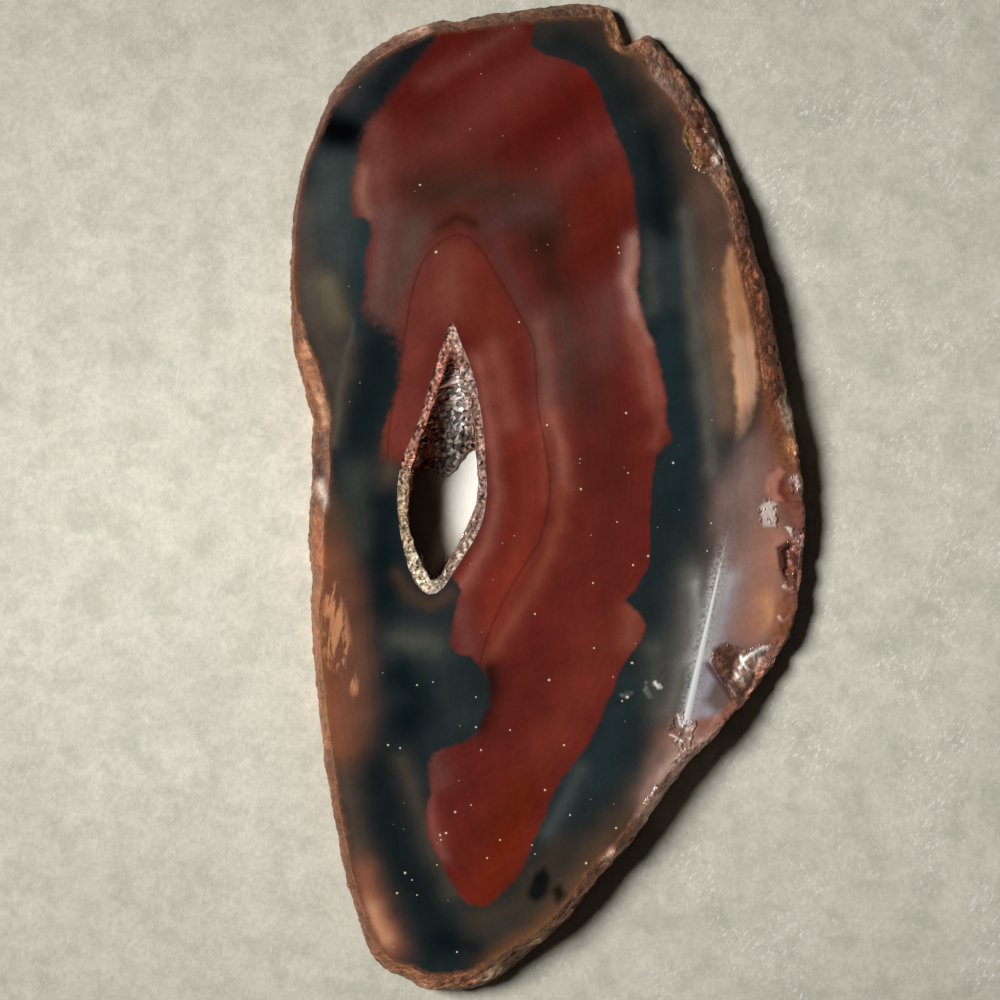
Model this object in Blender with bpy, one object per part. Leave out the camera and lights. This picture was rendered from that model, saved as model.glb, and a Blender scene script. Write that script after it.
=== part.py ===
"""An agate slice, lying flat: a slab sawn from a nodule, with a crystal-lined hollow through it.

Metres, +Z up. The polished face looks up, the sawn underside rests on Z = 0, and the slice's
length runs along Y. The origin is below the middle of the slice, on the underside.
"""

import math
import random

import bmesh
import bpy
import numpy as np
from mathutils import Matrix, Vector, geometry, noise

for thing in list(bpy.data.objects):
    bpy.data.objects.remove(thing, do_unlink=True)

# Driving dimensions of the real slice, in metres.
SLICE_LENGTH = 0.0990
SLICE_THICKNESS = 0.0053
CRUST_THICKNESS = 0.0007
CRUST_CLEARANCE = 0.0003

# The shapes in plan are traced in units: x to the right and y downwards, as the slice is looked
# down on. The slice is as long as TRACE_LENGTH units, and TRACE_MIDDLE lies on the origin.
TRACE_LENGTH = 990
TRACE_MIDDLE = (548, 497)
UNIT = SLICE_LENGTH / TRACE_LENGTH

# The slice's outline, clockwise from the top: x, y and the width of the rind that shows outside
# the polished face there.
OUTLINE = [
    (575, 2, 14), (600, 5, 13), (614, 14, 11), (622, 33, 14), (627, 42, 11), (637, 39, 13),
    (648, 34, 15), (660, 43, 16), (673, 59, 16), (686, 75, 15), (698, 94, 15), (713, 120, 16),
    (724, 151, 17), (732, 170, 17), (741, 194, 16), (749, 220, 17), (757, 255, 19), (767, 286, 21),
    (774, 320, 20), (781, 358, 22), (788, 390, 24), (794, 419, 24), (799, 443, 20), (802, 470, 17),
    (805, 504, 14), (806, 535, 13), (803, 565, 12), (800, 590, 12), (794, 625, 12), (782, 651, 12),
    (760, 684, 10), (736, 712, 10), (715, 738, 13), (695, 757, 16), (669, 790, 19), (652, 814, 16),
    (638, 835, 14), (624, 853, 12), (602, 874, 12), (587, 896, 12), (571, 916, 12), (549, 938, 12),
    (528, 955, 15), (508, 972, 18), (489, 984, 19), (467, 991, 18), (439, 992, 16), (421, 988, 14),
    (405, 979, 13), (387, 971, 12), (372, 957, 12), (363, 936, 10), (353, 903, 8), (345, 875, 8),
    (339, 843, 8), (332, 810, 8), (326, 767, 9), (322, 735, 8), (317, 695, 8), (313, 652, 8),
    (311, 610, 8), (312, 577, 11), (309, 536, 14), (310, 500, 16), (312, 473, 18), (311, 446, 18),
    (312, 419, 18), (307, 403, 19), (300, 371, 18), (293, 348, 14), (291, 321, 8), (290, 280, 4),
    (291, 250, 4), (293, 218, 4), (297, 189, 4), (303, 164, 4), (312, 139, 5), (323, 111, 6),
    (335, 89, 8), (348, 70, 10), (369, 51, 12), (391, 37, 12), (412, 28, 12), (435, 21, 10),
    (460, 20, 10), (485, 14, 12), (513, 10, 12), (541, 6, 12),
]

# Stations round the hollow, clockwise from its pointed end. Each has the edge of the agate at the
# polished face, the inner edge of the crust at that face, and the crust's edge at the underside.
HOLLOW = [
    ((452, 321), (451, 350), (448, 474)),
    ((461, 342), (458, 366), (455, 468)),
    ((470, 364), (463, 380), (462, 458)),
    ((476, 384), (469, 394), (469, 450)),
    ((480, 405), (473, 410), (474, 449)),
    ((484, 432), (475, 432), (476, 459)),
    ((486, 465), (478, 466), (477, 475)),
    ((487, 492), (478, 492), (478, 492)),
    ((484, 516), (475, 514), (474, 512)),
    ((477, 535), (467, 533), (465, 531)),
    ((466, 553), (458, 548), (456, 547)),
    ((454, 572), (448, 565), (446, 562)),
    ((443, 588), (441, 577), (439, 573)),
    ((431, 595), (431, 580), (431, 576)),
    ((418, 587), (425, 570), (424, 567)),
    ((409, 570), (419, 555), (418, 553)),
    ((402, 543), (411, 535), (412, 536)),
    ((398, 517), (408, 515), (409, 516)),
    ((397, 490), (408, 492), (410, 495)),
    ((401, 463), (411, 468), (414, 477)),
    ((410, 441), (418, 447), (421, 470)),
    ((419, 418), (426, 424), (430, 471)),
    ((427, 393), (434, 401), (438, 474)),
    ((434, 368), (440, 380), (443, 476)),
    ((443, 342), (447, 360), (446, 476)),
]

# Two ground facets slope down to the slice's edge, each to the right of a straight line from its
# first place to its second, by its angle in degrees. The first facet is the one with a crisp ridge.
FACETS = [
    ((686, 722), (750, 430), 18),
    ((752, 270), (482, 0), 22),
]
FACET_CUTTER_SIZE = 0.06

# Shells broken out of the right-hand edge: x, y, height of the middle above the underside and
# the three half sizes, all in units, and the turn in plan in degrees.
CHIPS = [
    (753, 681, 42, 37, 27, 19, 53),
    (686, 738, 57, 22, 11, 9, 50),
    (800, 582, 33, 11, 14, 11, 0),
    (804, 538, 36, 9, 13, 9, 20),
    (693, 140, 37, 13, 15, 11, 20),
    (705, 161, 39, 17, 13, 11, 0),
]
# How far a chip's surface swells in and out, as a share of its size, and how close its swells lie.
CHIP_SWELL = 0.07
CHIP_SWELLS = 2.3

# The rind: how many points go round it, where its lower edge and its foot lie, and its relief.
OUTLINE_STATIONS = 240
CURVE_STEPS = 12
OUTLINE_SMOOTHING = 4
EDGE_HEIGHT = 0.0009
FOOT_INSET = 0.0005
FOOT_HEIGHT = 0.00035
FOOT_SLANT = 0.3
LUMP_SIZE = 0.0023
LUMP_DEPTH = 0.0005
LEDGE_SIZE = 0.0012
PIT_SIZE = 0.0009
PIT_DEPTH = 0.0003
PIT_PLACE = Vector((5, 3, 1))
LEDGE_LIFT = 0.0003
# How far down the rind each of its rings lies, how far out where it bulges and where it slopes, and
# how strong its relief is there: shares of the rind's height and width and of the relief's depth.
RIND_PROFILE = [
    (0.05, 0.22, 0.07, 0.15), (0.12, 0.43, 0.16, 0.35), (0.22, 0.64, 0.30, 0.60),
    (0.38, 0.82, 0.52, 0.80), (0.60, 0.94, 0.76, 0.95), (0.85, 0.99, 0.94, 0.95),
]
# Where the rind slopes instead of bulging: the middle of the place and its reach, in units.
SLOPING_PLACES = [(530, 975, 110)]

# The crust: points round it, and its crystals' spacing, the share of it that they keep from the
# crust's edges, and their tries, heights and lean.
HOLLOW_STATIONS = 75
CRYSTAL_SEED = 7
CRYSTAL_SPACING = 0.00078
CRYSTAL_EDGE_SHARE = 0.55
CRYSTAL_TRIES = 14000
CRYSTAL_HEIGHT = (0.00028, 0.0007)
CRYSTAL_LEAN = 0.25
CRUST_BOTTOM = 0.0003
# Crystals that would stand above the polished face were sawn off this far below it.
CUT_MARGIN = 0.00004
WALL_SHARES = (0, 0.5, 1)
NEARLY_STRAIGHT = 1e-10
TOUCHING = 1e-9

AGATE_COLOUR = (0.16, 0.045, 0.033)
AGATE_ROUGHNESS = 0.12
QUARTZ_COLOUR = (0.62, 0.50, 0.43)
QUARTZ_ROUGHNESS = 0.3


def placed(x, y):
    """A traced place in plan, in metres."""
    return (x - TRACE_MIDDLE[0]) * UNIT, (TRACE_MIDDLE[1] - y) * UNIT


def closed_curve(points, count):
    """Evenly spaced samples of a smooth closed curve through the points; columns past x, y follow."""
    points = np.asarray(points, float)
    t = (np.arange(CURVE_STEPS) / CURVE_STEPS)[:, None]
    fine = []
    for i in range(len(points)):
        before, here, there, after = (points[(i + k) % len(points)] for k in (-1, 0, 1, 2))
        fine.append(
            0.5
            * (
                2 * here
                + (there - before) * t
                + (2 * before - 5 * here + 4 * there - after) * t**2
                + (3 * here - before - 3 * there + after) * t**3
            )
        )
    fine = np.concatenate(fine)
    closed = np.vstack([fine, fine[:1]])
    along = np.concatenate([[0], np.cumsum(np.linalg.norm(np.diff(closed[:, :2], axis=0), axis=1))])
    wanted = np.linspace(0, along[-1], count, endpoint=False)
    return np.stack([np.interp(wanted, along, column) for column in closed.T], axis=1)


def inward(loop, smoothing=1):
    """Unit directions in plan, square to a clockwise loop and towards its inside."""
    along = sum(np.roll(loop[:, :2], -k, axis=0) - np.roll(loop[:, :2], k, axis=0)
                for k in range(1, smoothing + 1))
    along /= np.linalg.norm(along, axis=1)[:, None]
    return np.stack([along[:, 1], -along[:, 0]], axis=1)


def inset(loop, distance):
    """The loop moved inwards by the distance, with pointed corners kept."""
    ahead = np.roll(loop, -1, axis=0) - loop
    ahead /= np.linalg.norm(ahead, axis=1)[:, None]
    normal = np.stack([ahead[:, 1], -ahead[:, 0]], axis=1)
    both = normal + np.roll(normal, 1, axis=0)
    return loop + both * (distance * 2 / (both**2).sum(axis=1))[:, None]


def at_height(loop, z):
    """The loop in plan lifted to a height, or to one height for each point."""
    return np.column_stack([loop[:, :2], np.broadcast_to(z, len(loop))])


def add_loop(mesh, loop):
    """New corners along a loop."""
    return [mesh.verts.new(point) for point in loop]


def join_loops(mesh, upper, lower):
    """Triangles between two loops of the same count, with every other diagonal turned."""
    count = len(upper)
    for i in range(count):
        a, b = upper[i], upper[(i + 1) % count]
        c, d = lower[(i + 1) % count], lower[i]
        if i % 2:
            mesh.faces.new((a, b, c))
            mesh.faces.new((a, c, d))
        else:
            mesh.faces.new((a, b, d))
            mesh.faces.new((b, c, d))


def fill_between(mesh, *loops):
    """A flat face inside the first loop and outside the others."""
    edges = []
    for loop in loops:
        for i, vert in enumerate(loop):
            edges.append(mesh.edges.get((vert, loop[(i + 1) % len(loop)])))
    bmesh.ops.triangle_fill(mesh, edges=edges, use_beauty=True)


def material(name, colour, roughness):
    """A plain finish of one colour."""
    made = bpy.data.materials.new(name)
    made.use_nodes = True
    shader = made.node_tree.nodes["Principled BSDF"]
    shader.inputs["Base Color"].default_value = (*colour, 1)
    shader.inputs["Roughness"].default_value = roughness
    shader.inputs["Metallic"].default_value = 0.0
    made.diffuse_color = (*colour, 1)
    return made


def new_object(name, mesh, finish):
    """An object from a finished mesh, with its faces turned outwards."""
    bmesh.ops.recalc_face_normals(mesh, faces=mesh.faces)
    data = bpy.data.meshes.new(name)
    mesh.to_mesh(data)
    mesh.free()
    data.materials.append(finish)
    made = bpy.data.objects.new(name, data)
    bpy.context.scene.collection.objects.link(made)
    return made


def hollow_loops():
    """The three traced loops round the hollow in metres, each with HOLLOW_STATIONS points."""
    places = np.array([[placed(*place) for place in station] for station in HOLLOW])
    together = closed_curve(places.reshape(len(HOLLOW), 6), HOLLOW_STATIONS)
    return together[:, 0:2], together[:, 2:4], together[:, 4:6]


def bulging(loop):
    """How much the rind bulges at each point of the loop: from 0, where it slopes, to 1."""
    share = np.ones(len(loop))
    for x, y, reach in SLOPING_PLACES:
        away = np.linalg.norm(loop[:, :2] - placed(x, y), axis=1) / (reach * UNIT)
        share *= np.clip(away, 0, 1) ** 2
    return share[:, None]


def rind_rings():
    """Rings of the slice's outer wall, from the edge of the polished face down to the foot."""
    traced = [(*placed(x, y), width * UNIT) for x, y, width in OUTLINE]
    outline = closed_curve(traced, OUTLINE_STATIONS)
    inwards = inward(outline, OUTLINE_SMOOTHING)
    rind = outline[:, 2:3]
    face = outline[:, :2] + inwards * rind
    rings = [at_height(face, SLICE_THICKNESS)]
    bulge = bulging(outline)
    for down, bulging_out, sloping_out, strength in RIND_PROFILE:
        height = SLICE_THICKNESS + (EDGE_HEIGHT - SLICE_THICKNESS) * down
        out = sloping_out + (bulging_out - sloping_out) * bulge
        ring = at_height(face - inwards * rind * out, height)
        for point, direction in zip(ring, inwards):
            place = Vector(point)
            lump = 0.5 + 0.5 * noise.noise(place / LUMP_SIZE)
            ledge = noise.noise(Vector((place.x, place.y, place.z * 3)) / LEDGE_SIZE)
            pit = max(noise.noise(place / PIT_SIZE + PIT_PLACE), 0)
            point[:2] += direction * (LUMP_DEPTH * lump + PIT_DEPTH * pit) * strength
            point[2] = min(point[2] + LEDGE_LIFT * ledge * strength, SLICE_THICKNESS - CUT_MARGIN)
        rings.append(ring)
    rings.append(at_height(outline, EDGE_HEIGHT))
    rings.append(at_height(outline[:, :2] + inwards * FOOT_INSET * FOOT_SLANT, FOOT_HEIGHT))
    rings.append(at_height(outline[:, :2] + inwards * FOOT_INSET, 0))
    return rings


def hide_cutter(cutter):
    """Keep the cutter out of sight."""
    cutter.hide_render = True
    cutter.display_type = "WIRE"


def facet_cutter(number, start, end, slope):
    """A block whose underside lies along a ground facet, to the right of the line on its way."""
    mesh = bmesh.new()
    bmesh.ops.create_cube(mesh, size=1)
    for vert in mesh.verts:
        vert.co = Vector((vert.co.x, vert.co.y, vert.co.z + 0.5)) * FACET_CUTTER_SIZE
    cutter = new_object(f"facet_cutter_{number}", mesh, None)
    start = Vector((*placed(*start), SLICE_THICKNESS))
    end = Vector((*placed(*end), SLICE_THICKNESS))
    along = (end - start).normalized()
    outwards = Vector((along.y, -along.x, 0))
    slope = math.radians(slope)
    downhill = outwards * math.cos(slope) - Vector((0, 0, math.sin(slope)))
    axes = Matrix((along, -downhill, along.cross(-downhill))).transposed()
    cutter.matrix_world = Matrix.Translation((start + end) / 2) @ axes.to_4x4()
    hide_cutter(cutter)
    return cutter


def chip_cutter(number, x, y, z, half_x, half_y, half_z, turn):
    """A many-sided egg that breaks one shell-shaped chip out of the edge."""
    mesh = bmesh.new()
    bmesh.ops.create_icosphere(mesh, subdivisions=2, radius=1)
    for vert in mesh.verts:
        vert.co *= 1 + CHIP_SWELL * noise.noise(vert.co * CHIP_SWELLS + Vector((number, 0, 0)))
        vert.co = Vector((vert.co.x * half_x, vert.co.y * half_y, vert.co.z * half_z)) * UNIT
    cutter = new_object(f"chip_cutter_{number}", mesh, None)
    cutter.location = (*placed(x, y), z * UNIT)
    cutter.rotation_euler.z = math.radians(turn)
    hide_cutter(cutter)
    return cutter


def make_agate_slice():
    """The slab: its rind, polished face, sawn foot and hollow, with the facets and chips cut away."""
    rim, _, mouth = hollow_loops()
    foot = inset(mouth, -(CRUST_THICKNESS + CRUST_CLEARANCE))
    mesh = bmesh.new()
    rings = [add_loop(mesh, ring) for ring in rind_rings()]
    for upper, lower in zip(rings, rings[1:]):
        join_loops(mesh, upper, lower)
    walls = []
    for share in WALL_SHARES:
        wall = at_height(rim + (foot - rim) * share, SLICE_THICKNESS * (1 - share))
        walls.append(add_loop(mesh, wall))
    for upper, lower in zip(walls, walls[1:]):
        join_loops(mesh, upper, lower)
    fill_between(mesh, rings[0], walls[0])
    fill_between(mesh, rings[-1], walls[-1])
    slab = new_object("agate_slice", mesh, material("agate", AGATE_COLOUR, AGATE_ROUGHNESS))
    cutters = [facet_cutter(number, *facet) for number, facet in enumerate(FACETS)]
    cutters += [chip_cutter(number, *chip) for number, chip in enumerate(CHIPS)]
    for cutter in cutters:
        cut = slab.modifiers.new(cutter.name, "BOOLEAN")
        cut.operation = "DIFFERENCE"
        cut.solver = "EXACT"
        cut.object = cutter
    return slab


class CrustFace:
    """The inner face of the crust: straight slopes from its lip down to its mouth."""

    def __init__(self, lip, mouth):
        self.lip = np.vstack([lip, lip[:1]])
        self.mouth = np.vstack([mouth, mouth[:1]])
        self.stations = np.arange(len(self.lip))
        down = self.mouth - self.lip
        lost = np.linalg.norm(down, axis=1) - np.linalg.norm(down[:, :2], axis=1)
        outwards = -inward(mouth, smoothing=3)
        self.spread = np.vstack([outwards, outwards[:1]]) * lost[:, None]

    def at(self, station, columns):
        return np.array([np.interp(station, self.stations, column) for column in columns.T])

    def point(self, station, share):
        upper = self.at(station, self.lip)
        return Vector(upper + (self.at(station, self.mouth) - upper) * share)

    def flat(self, station, share):
        """The point's place when the face is flattened round its mouth, about true to length."""
        spread = self.at(station, self.spread) * (1 - share)
        return self.point(station, share).xy + Vector(spread)

    def normal(self, station, share):
        """Out of the crust, into the hollow."""
        before, after = max(station - 1, 0), min(station + 1, self.stations[-1])
        across = self.point(after, share) - self.point(before, share)
        down = self.point(station, 1) - self.point(station, 0)
        return across.cross(down).normalized()


def crystal_places(face, generator):
    """Where crystals stand on the face, at least CRYSTAL_SPACING apart and from its edges."""
    places = []
    feet = [face.point(station, share) for station in face.stations for share in (0, 1)]
    for _ in range(CRYSTAL_TRIES):
        place = generator.uniform(0, face.stations[-1]), generator.random()
        foot = face.point(*place)
        edges, crystals = feet[: 2 * len(face.stations)], feet[2 * len(face.stations):]
        if any((foot - edge).length < CRYSTAL_EDGE_SHARE * CRYSTAL_SPACING for edge in edges):
            continue
        if all((foot - other).length > CRYSTAL_SPACING for other in crystals):
            places.append(place)
            feet.append(foot)
    return places


def crystal_tip(face, place, generator):
    """The tip of a crystal: up from the face, leaning a little, and cut off by the saw."""
    foot = face.point(*place)
    lean = Vector([generator.gauss(0, CRYSTAL_LEAN) for _ in range(3)])
    direction = (face.normal(*place) + lean).normalized()
    height = generator.uniform(*CRYSTAL_HEIGHT)
    room = SLICE_THICKNESS - CUT_MARGIN - foot.z if direction.z > 0 else CRUST_BOTTOM - foot.z
    return foot + direction * min(height, room / direction.z)


def make_crystal_crust():
    """The druse: one closed band, with a flat-faced point for each crystal."""
    generator = random.Random(CRYSTAL_SEED)
    rim, lip, mouth = hollow_loops()
    face = CrustFace(at_height(lip, SLICE_THICKNESS), at_height(mouth, CRUST_BOTTOM))
    places = crystal_places(face, generator)

    mesh = bmesh.new()
    outer_top = add_loop(mesh, at_height(inset(rim, CRUST_CLEARANCE), SLICE_THICKNESS))
    outer_bottom = add_loop(mesh, at_height(inset(mouth, -CRUST_THICKNESS), CRUST_BOTTOM))
    lip_loop = add_loop(mesh, at_height(lip, SLICE_THICKNESS))
    mouth_loop = add_loop(mesh, at_height(mouth, CRUST_BOTTOM))
    join_loops(mesh, lip_loop, outer_top)
    join_loops(mesh, outer_top, outer_bottom)
    join_loops(mesh, outer_bottom, mouth_loop)
    tips = [mesh.verts.new(crystal_tip(face, place, generator)) for place in places]

    # The face is flattened to find which crystals are neighbours.
    count = len(lip)
    feet = [face.point(i, share) for share in (0, 1) for i in range(count)]
    feet += [face.point(*place) for place in places]
    flat = [face.flat(i, share) for share in (0, 1) for i in range(count)]
    flat += [face.flat(*place) for place in places]
    rims = [(start + i, start + (i + 1) % count) for start in (0, count) for i in range(count)]
    triangles = geometry.delaunay_2d_cdt(flat, rims, [], 0, TOUCHING)[2]
    corners = lip_loop + mouth_loop + tips
    outside = np.array([flat[i] for i in range(count)])
    inside = np.array([flat[i] for i in range(count, 2 * count)])

    # Each three neighbouring crystals have the bottom of a valley between them, and across each
    # side that two such threes share, a valley line joins their two bottoms.
    sides = {}
    for triangle in triangles:
        middle = sum((flat[i] for i in triangle), Vector((0, 0))) / 3
        if encloses(inside, middle) or not encloses(outside, middle):
            continue
        valley = mesh.verts.new(sum((feet[i] for i in triangle), Vector()) / 3)
        for k in range(3):
            a, b = triangle[k], triangle[(k + 1) % 3]
            sides.setdefault(frozenset((a, b)), []).append((a, b, valley, middle))
    for sharing in sides.values():
        a, b, valley, middle = sharing[0]
        if len(sharing) == 2:
            other, other_middle = sharing[1][2:]
            if is_convex(flat[a], other_middle, flat[b], middle):
                mesh.faces.new((corners[a], other, valley))
                mesh.faces.new((corners[b], valley, other))
                continue
        for a, b, valley, _ in sharing:
            mesh.faces.new((corners[a], corners[b], valley))
    return new_object("crystal_crust", mesh, material("quartz", QUARTZ_COLOUR, QUARTZ_ROUGHNESS))


def encloses(loop, place):
    """Whether a loop in plan goes round the place."""
    (x, y), after = place, np.roll(loop, -1, axis=0)
    spans = (loop[:, 1] > y) != (after[:, 1] > y)
    rise = np.where(spans, after[:, 1] - loop[:, 1], 1)
    crossing = loop[:, 0] + (y - loop[:, 1]) / rise * (after[:, 0] - loop[:, 0])
    return bool((spans & (crossing > x)).sum() % 2)


def is_convex(*corners):
    """Whether the flat four-sided shape is convex."""
    turns = []
    for k in range(4):
        (ax, ay), (bx, by), (cx, cy) = (corners[(k + i) % 4] for i in range(3))
        turns.append((bx - ax) * (cy - by) - (by - ay) * (cx - bx))
    return min(turns) > NEARLY_STRAIGHT or max(turns) < -NEARLY_STRAIGHT


make_agate_slice()
make_crystal_crust()
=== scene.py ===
"""An agate slice lying on paper: red and dark banded stone, a rough skin and a crystal-lined hollow."""

import math
import random

import bmesh
import bpy
import numpy as np
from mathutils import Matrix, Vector, geometry, kdtree, noise


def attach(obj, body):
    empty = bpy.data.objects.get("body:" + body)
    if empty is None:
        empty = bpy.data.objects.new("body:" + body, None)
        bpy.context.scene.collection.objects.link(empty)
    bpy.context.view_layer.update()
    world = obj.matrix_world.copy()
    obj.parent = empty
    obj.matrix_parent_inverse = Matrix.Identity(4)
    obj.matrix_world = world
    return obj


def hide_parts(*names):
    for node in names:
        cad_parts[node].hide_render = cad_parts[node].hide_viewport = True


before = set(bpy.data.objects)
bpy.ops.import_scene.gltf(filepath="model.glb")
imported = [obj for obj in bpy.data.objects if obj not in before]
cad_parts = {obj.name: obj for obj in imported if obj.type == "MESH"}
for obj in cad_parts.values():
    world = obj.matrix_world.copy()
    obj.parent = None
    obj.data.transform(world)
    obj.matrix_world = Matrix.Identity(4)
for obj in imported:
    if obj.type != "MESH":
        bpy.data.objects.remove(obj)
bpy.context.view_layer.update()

# The slab: one slice of banded agate and red jasper, sawn from a nodule, with its upper face ground
# flat and polished, its foot left sawn and its skin left rough. It lies loose on its foot.

# Places in plan are in units of 0.1 mm, x to the right and y down, as the slab is looked down on.

UNIT = 0.0001
MIDDLE = (548, 497)
THICKNESS = 0.0053

# The outline, clockwise from the top: x, y and the width of skin that shows outside the face.
OUTLINE = [
    (575, 2, 14), (600, 5, 13), (614, 14, 11), (622, 33, 14), (627, 42, 11), (637, 39, 14),
    (648, 34, 19), (660, 43, 23), (673, 59, 25), (686, 75, 25), (698, 94, 24), (713, 120, 24),
    (724, 151, 22), (732, 170, 20), (741, 194, 16), (749, 220, 17), (757, 255, 19), (767, 286, 21),
    (774, 320, 20), (781, 358, 22), (788, 390, 24), (794, 419, 24), (799, 443, 20), (802, 470, 17),
    (805, 504, 14), (806, 535, 13), (803, 565, 12), (800, 590, 12), (794, 625, 12), (782, 651, 12),
    (760, 684, 10), (736, 712, 9), (715, 738, 9), (695, 757, 10), (669, 790, 11), (652, 814, 11),
    (638, 835, 12), (624, 853, 12), (602, 874, 12), (587, 896, 12), (571, 916, 12), (549, 938, 12),
    (528, 955, 15), (508, 972, 18), (489, 984, 19), (467, 991, 18), (439, 992, 16), (421, 988, 14),
    (405, 979, 13), (387, 971, 12), (372, 957, 12), (363, 936, 10), (353, 903, 8), (345, 875, 8),
    (339, 843, 8), (332, 810, 8), (326, 767, 9), (322, 735, 8), (317, 695, 8), (313, 652, 8),
    (311, 610, 8), (312, 577, 11), (309, 536, 14), (310, 500, 16), (312, 473, 18), (311, 446, 18),
    (312, 419, 18), (307, 403, 19), (300, 371, 18), (293, 348, 14), (291, 321, 8), (290, 280, 4),
    (291, 250, 4), (293, 218, 4), (297, 189, 4), (303, 164, 4), (312, 139, 5), (323, 111, 6),
    (335, 89, 8), (348, 70, 10), (369, 51, 12), (391, 37, 12), (412, 28, 12), (435, 21, 10),
    (460, 20, 10), (485, 14, 12), (513, 10, 12), (541, 6, 12),
]

# Stations round the hollow, clockwise from its pointed end: the edge of the agate at the polished
# face, the inner edge of the crystals at that face, and their edge at the underside.
HOLLOW = [
    ((452, 321), (451, 350), (448, 474)), ((461, 342), (458, 366), (455, 468)),
    ((470, 364), (463, 380), (462, 458)), ((476, 384), (469, 394), (469, 450)),
    ((480, 405), (473, 410), (474, 449)), ((484, 432), (475, 432), (476, 459)),
    ((486, 465), (478, 466), (477, 475)), ((487, 492), (478, 492), (478, 492)),
    ((484, 516), (475, 514), (474, 512)), ((477, 535), (467, 533), (465, 531)),
    ((466, 553), (458, 548), (456, 547)), ((454, 572), (448, 565), (446, 562)),
    ((443, 588), (441, 577), (439, 573)), ((431, 595), (431, 580), (431, 576)),
    ((418, 587), (425, 570), (424, 567)), ((409, 570), (419, 555), (418, 553)),
    ((402, 543), (411, 535), (412, 536)), ((398, 517), (408, 515), (409, 516)),
    ((397, 490), (408, 492), (410, 495)), ((401, 463), (411, 468), (414, 477)),
    ((410, 441), (418, 447), (421, 470)), ((419, 418), (426, 424), (430, 471)),
    ((427, 393), (434, 401), (438, 474)), ((434, 368), (440, 380), (443, 476)),
    ((443, 342), (447, 360), (446, 476)),
]

# The straight ridge where the facet on the right begins.
RIDGE_TOP = (750, 430)
RIDGE_BOTTOM = (686, 722)
# The face is ground to a slope on two sides, each to the right of a line from its first place to
# its second, by its angle in degrees, and its start is rounded over by its last number. The skin was
# cut by the first facet, and grew round the second.
CUT_FACET = (RIDGE_BOTTOM, RIDGE_TOP, 18, 0.0002)
WORN_FACET = ((752, 270), (482, 0), 22, 0.003)

# Where the stone is broken away: how deep, how far in from its edge it gets so deep, how high and
# wide its ripples are, and its outline.
BREAKS = [
    (6, 15, 5, 15, [(708, 664), (714, 647), (728, 642), (745, 648), (762, 643), (782, 642),
                    (806, 650), (790, 690), (748, 728), (736, 708), (724, 688)]),
    (1.5, 9, 4, 11, [(664, 738), (670, 716), (686, 708), (698, 722), (696, 744), (680, 754)]),
    (2, 12, 4, 17, [(696, 742), (712, 760), (660, 830), (636, 822), (650, 784), (672, 754)]),
    (4, 7, 4, 10, [(777, 566), (779, 550), (790, 540), (812, 546), (812, 604), (790, 592)]),
    (2, 5, 3, 7, [(786, 527), (814, 526), (814, 544), (806, 550), (796, 545)]),
    (3, 4, 4, 9, [(683, 140), (686, 124), (700, 118), (728, 130), (746, 176), (718, 176),
                  (704, 173), (692, 165), (690, 150)]),
    (1, 4, 4, 5, [(757, 508), (768, 497), (780, 504), (778, 530), (761, 530)]),
    (3, 3, 3, 6, [(784, 394), (810, 394), (812, 430), (789, 428)]),
    (2, 3, 3, 6, [(787, 438), (812, 440), (812, 462), (791, 460)]),
    (2, 3, 3, 5, [(789, 476), (814, 474), (814, 494), (791, 494)]),
    (5, 12, 3, 12, [(603, 6), (606, 28), (618, 46), (632, 50), (642, 30), (620, -4)]),
]

# Where the light comes from: the stone's colours are painted lighter where its slopes face away from it
# and darker where they face it, to cancel their shading.
LIGHT_FROM = Vector((-0.88, 0.22, 1)).normalized()

STATIONS = 1040
SKIN_RINGS = 19
EDGE_HEIGHT = 0.0009
FOOT_INSET = 0.0005
FOOT_HEIGHT = 0.00035
LUMP_SIZE = 0.0023
LUMP_DEPTH = 0.0005
LEDGE_SIZE = 0.0012
LEDGE_LIFT = 0.0003
PIT_SIZE = 0.0009
PIT_DEPTH = 0.0003
PIT_PLACE = Vector((5, 3, 1))
GRIT_SIZE = 0.00045
GRIT_DEPTH = 0.00012
# How fast the grit's finer layers weaken, how much finer each is, and how many there are.
GRIT_LAYERS = (1, 2, 3)
# The skin's colours are painted lighter to cancel the shade on its slope down to this share of its height,
# and the lightening fades out over the second share.
LIT_DEPTH = 0.35
LIT_FADE = 0.4
RELIEF_START = 0.25
RELIEF_END = 0.13
RING_CROWDING = 1.5
SLOPE_STEP = 0.02
SKIN_SMOOTHING = 17
LEDGE_FLATNESS = 3
GRIT_START = 1 / 8
# The skin's relief goes no lower than this share of the height of its lowest full ring.
LOWEST_SKIN = 0.7
FOOT_SLANT = 0.3
CUT_MARGIN = 0.00002
# Stone counts as cut or broken where it is lowered by more than this.
CUT_LEAST = 2e-5
BROKEN_LEAST = 1e-5
# How far out the skin has come for how far down it is, where it bulges and where it slopes, as
# shares of its width and height.
SKIN_DOWN = (0, 0.05, 0.12, 0.22, 0.38, 0.60, 0.85, 1)
SKIN_BULGE = (0, 0.22, 0.43, 0.64, 0.82, 0.94, 0.99, 1)
SKIN_SLOPE = (0, 0.07, 0.16, 0.30, 0.52, 0.76, 0.94, 1)
# Where the skin slopes instead of bulging: the middle of the place and its reach.
SLOPING_PLACES = [(530, 975, 110)]

CURVE_STEPS = 12
HOLLOW_STATIONS = 75
HOLLOW_STEPS = 3
WALL_SHARES = (0, 0.25, 0.5, 0.75, 1)
HOLLOW_MIDDLE = (447, 512)
WALL_MARGIN = 0.001
FACE_SPACING = 0.00029
FINE_SPACING = 0.00016
FOOT_SPACING = 0.0007
FACE_ROOM = 0.55
FOOT_ROOM = 0.5
PLACES_SEED = 11
PLACES_SHAKE = 0.12
TOUCHING = 1e-9
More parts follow.
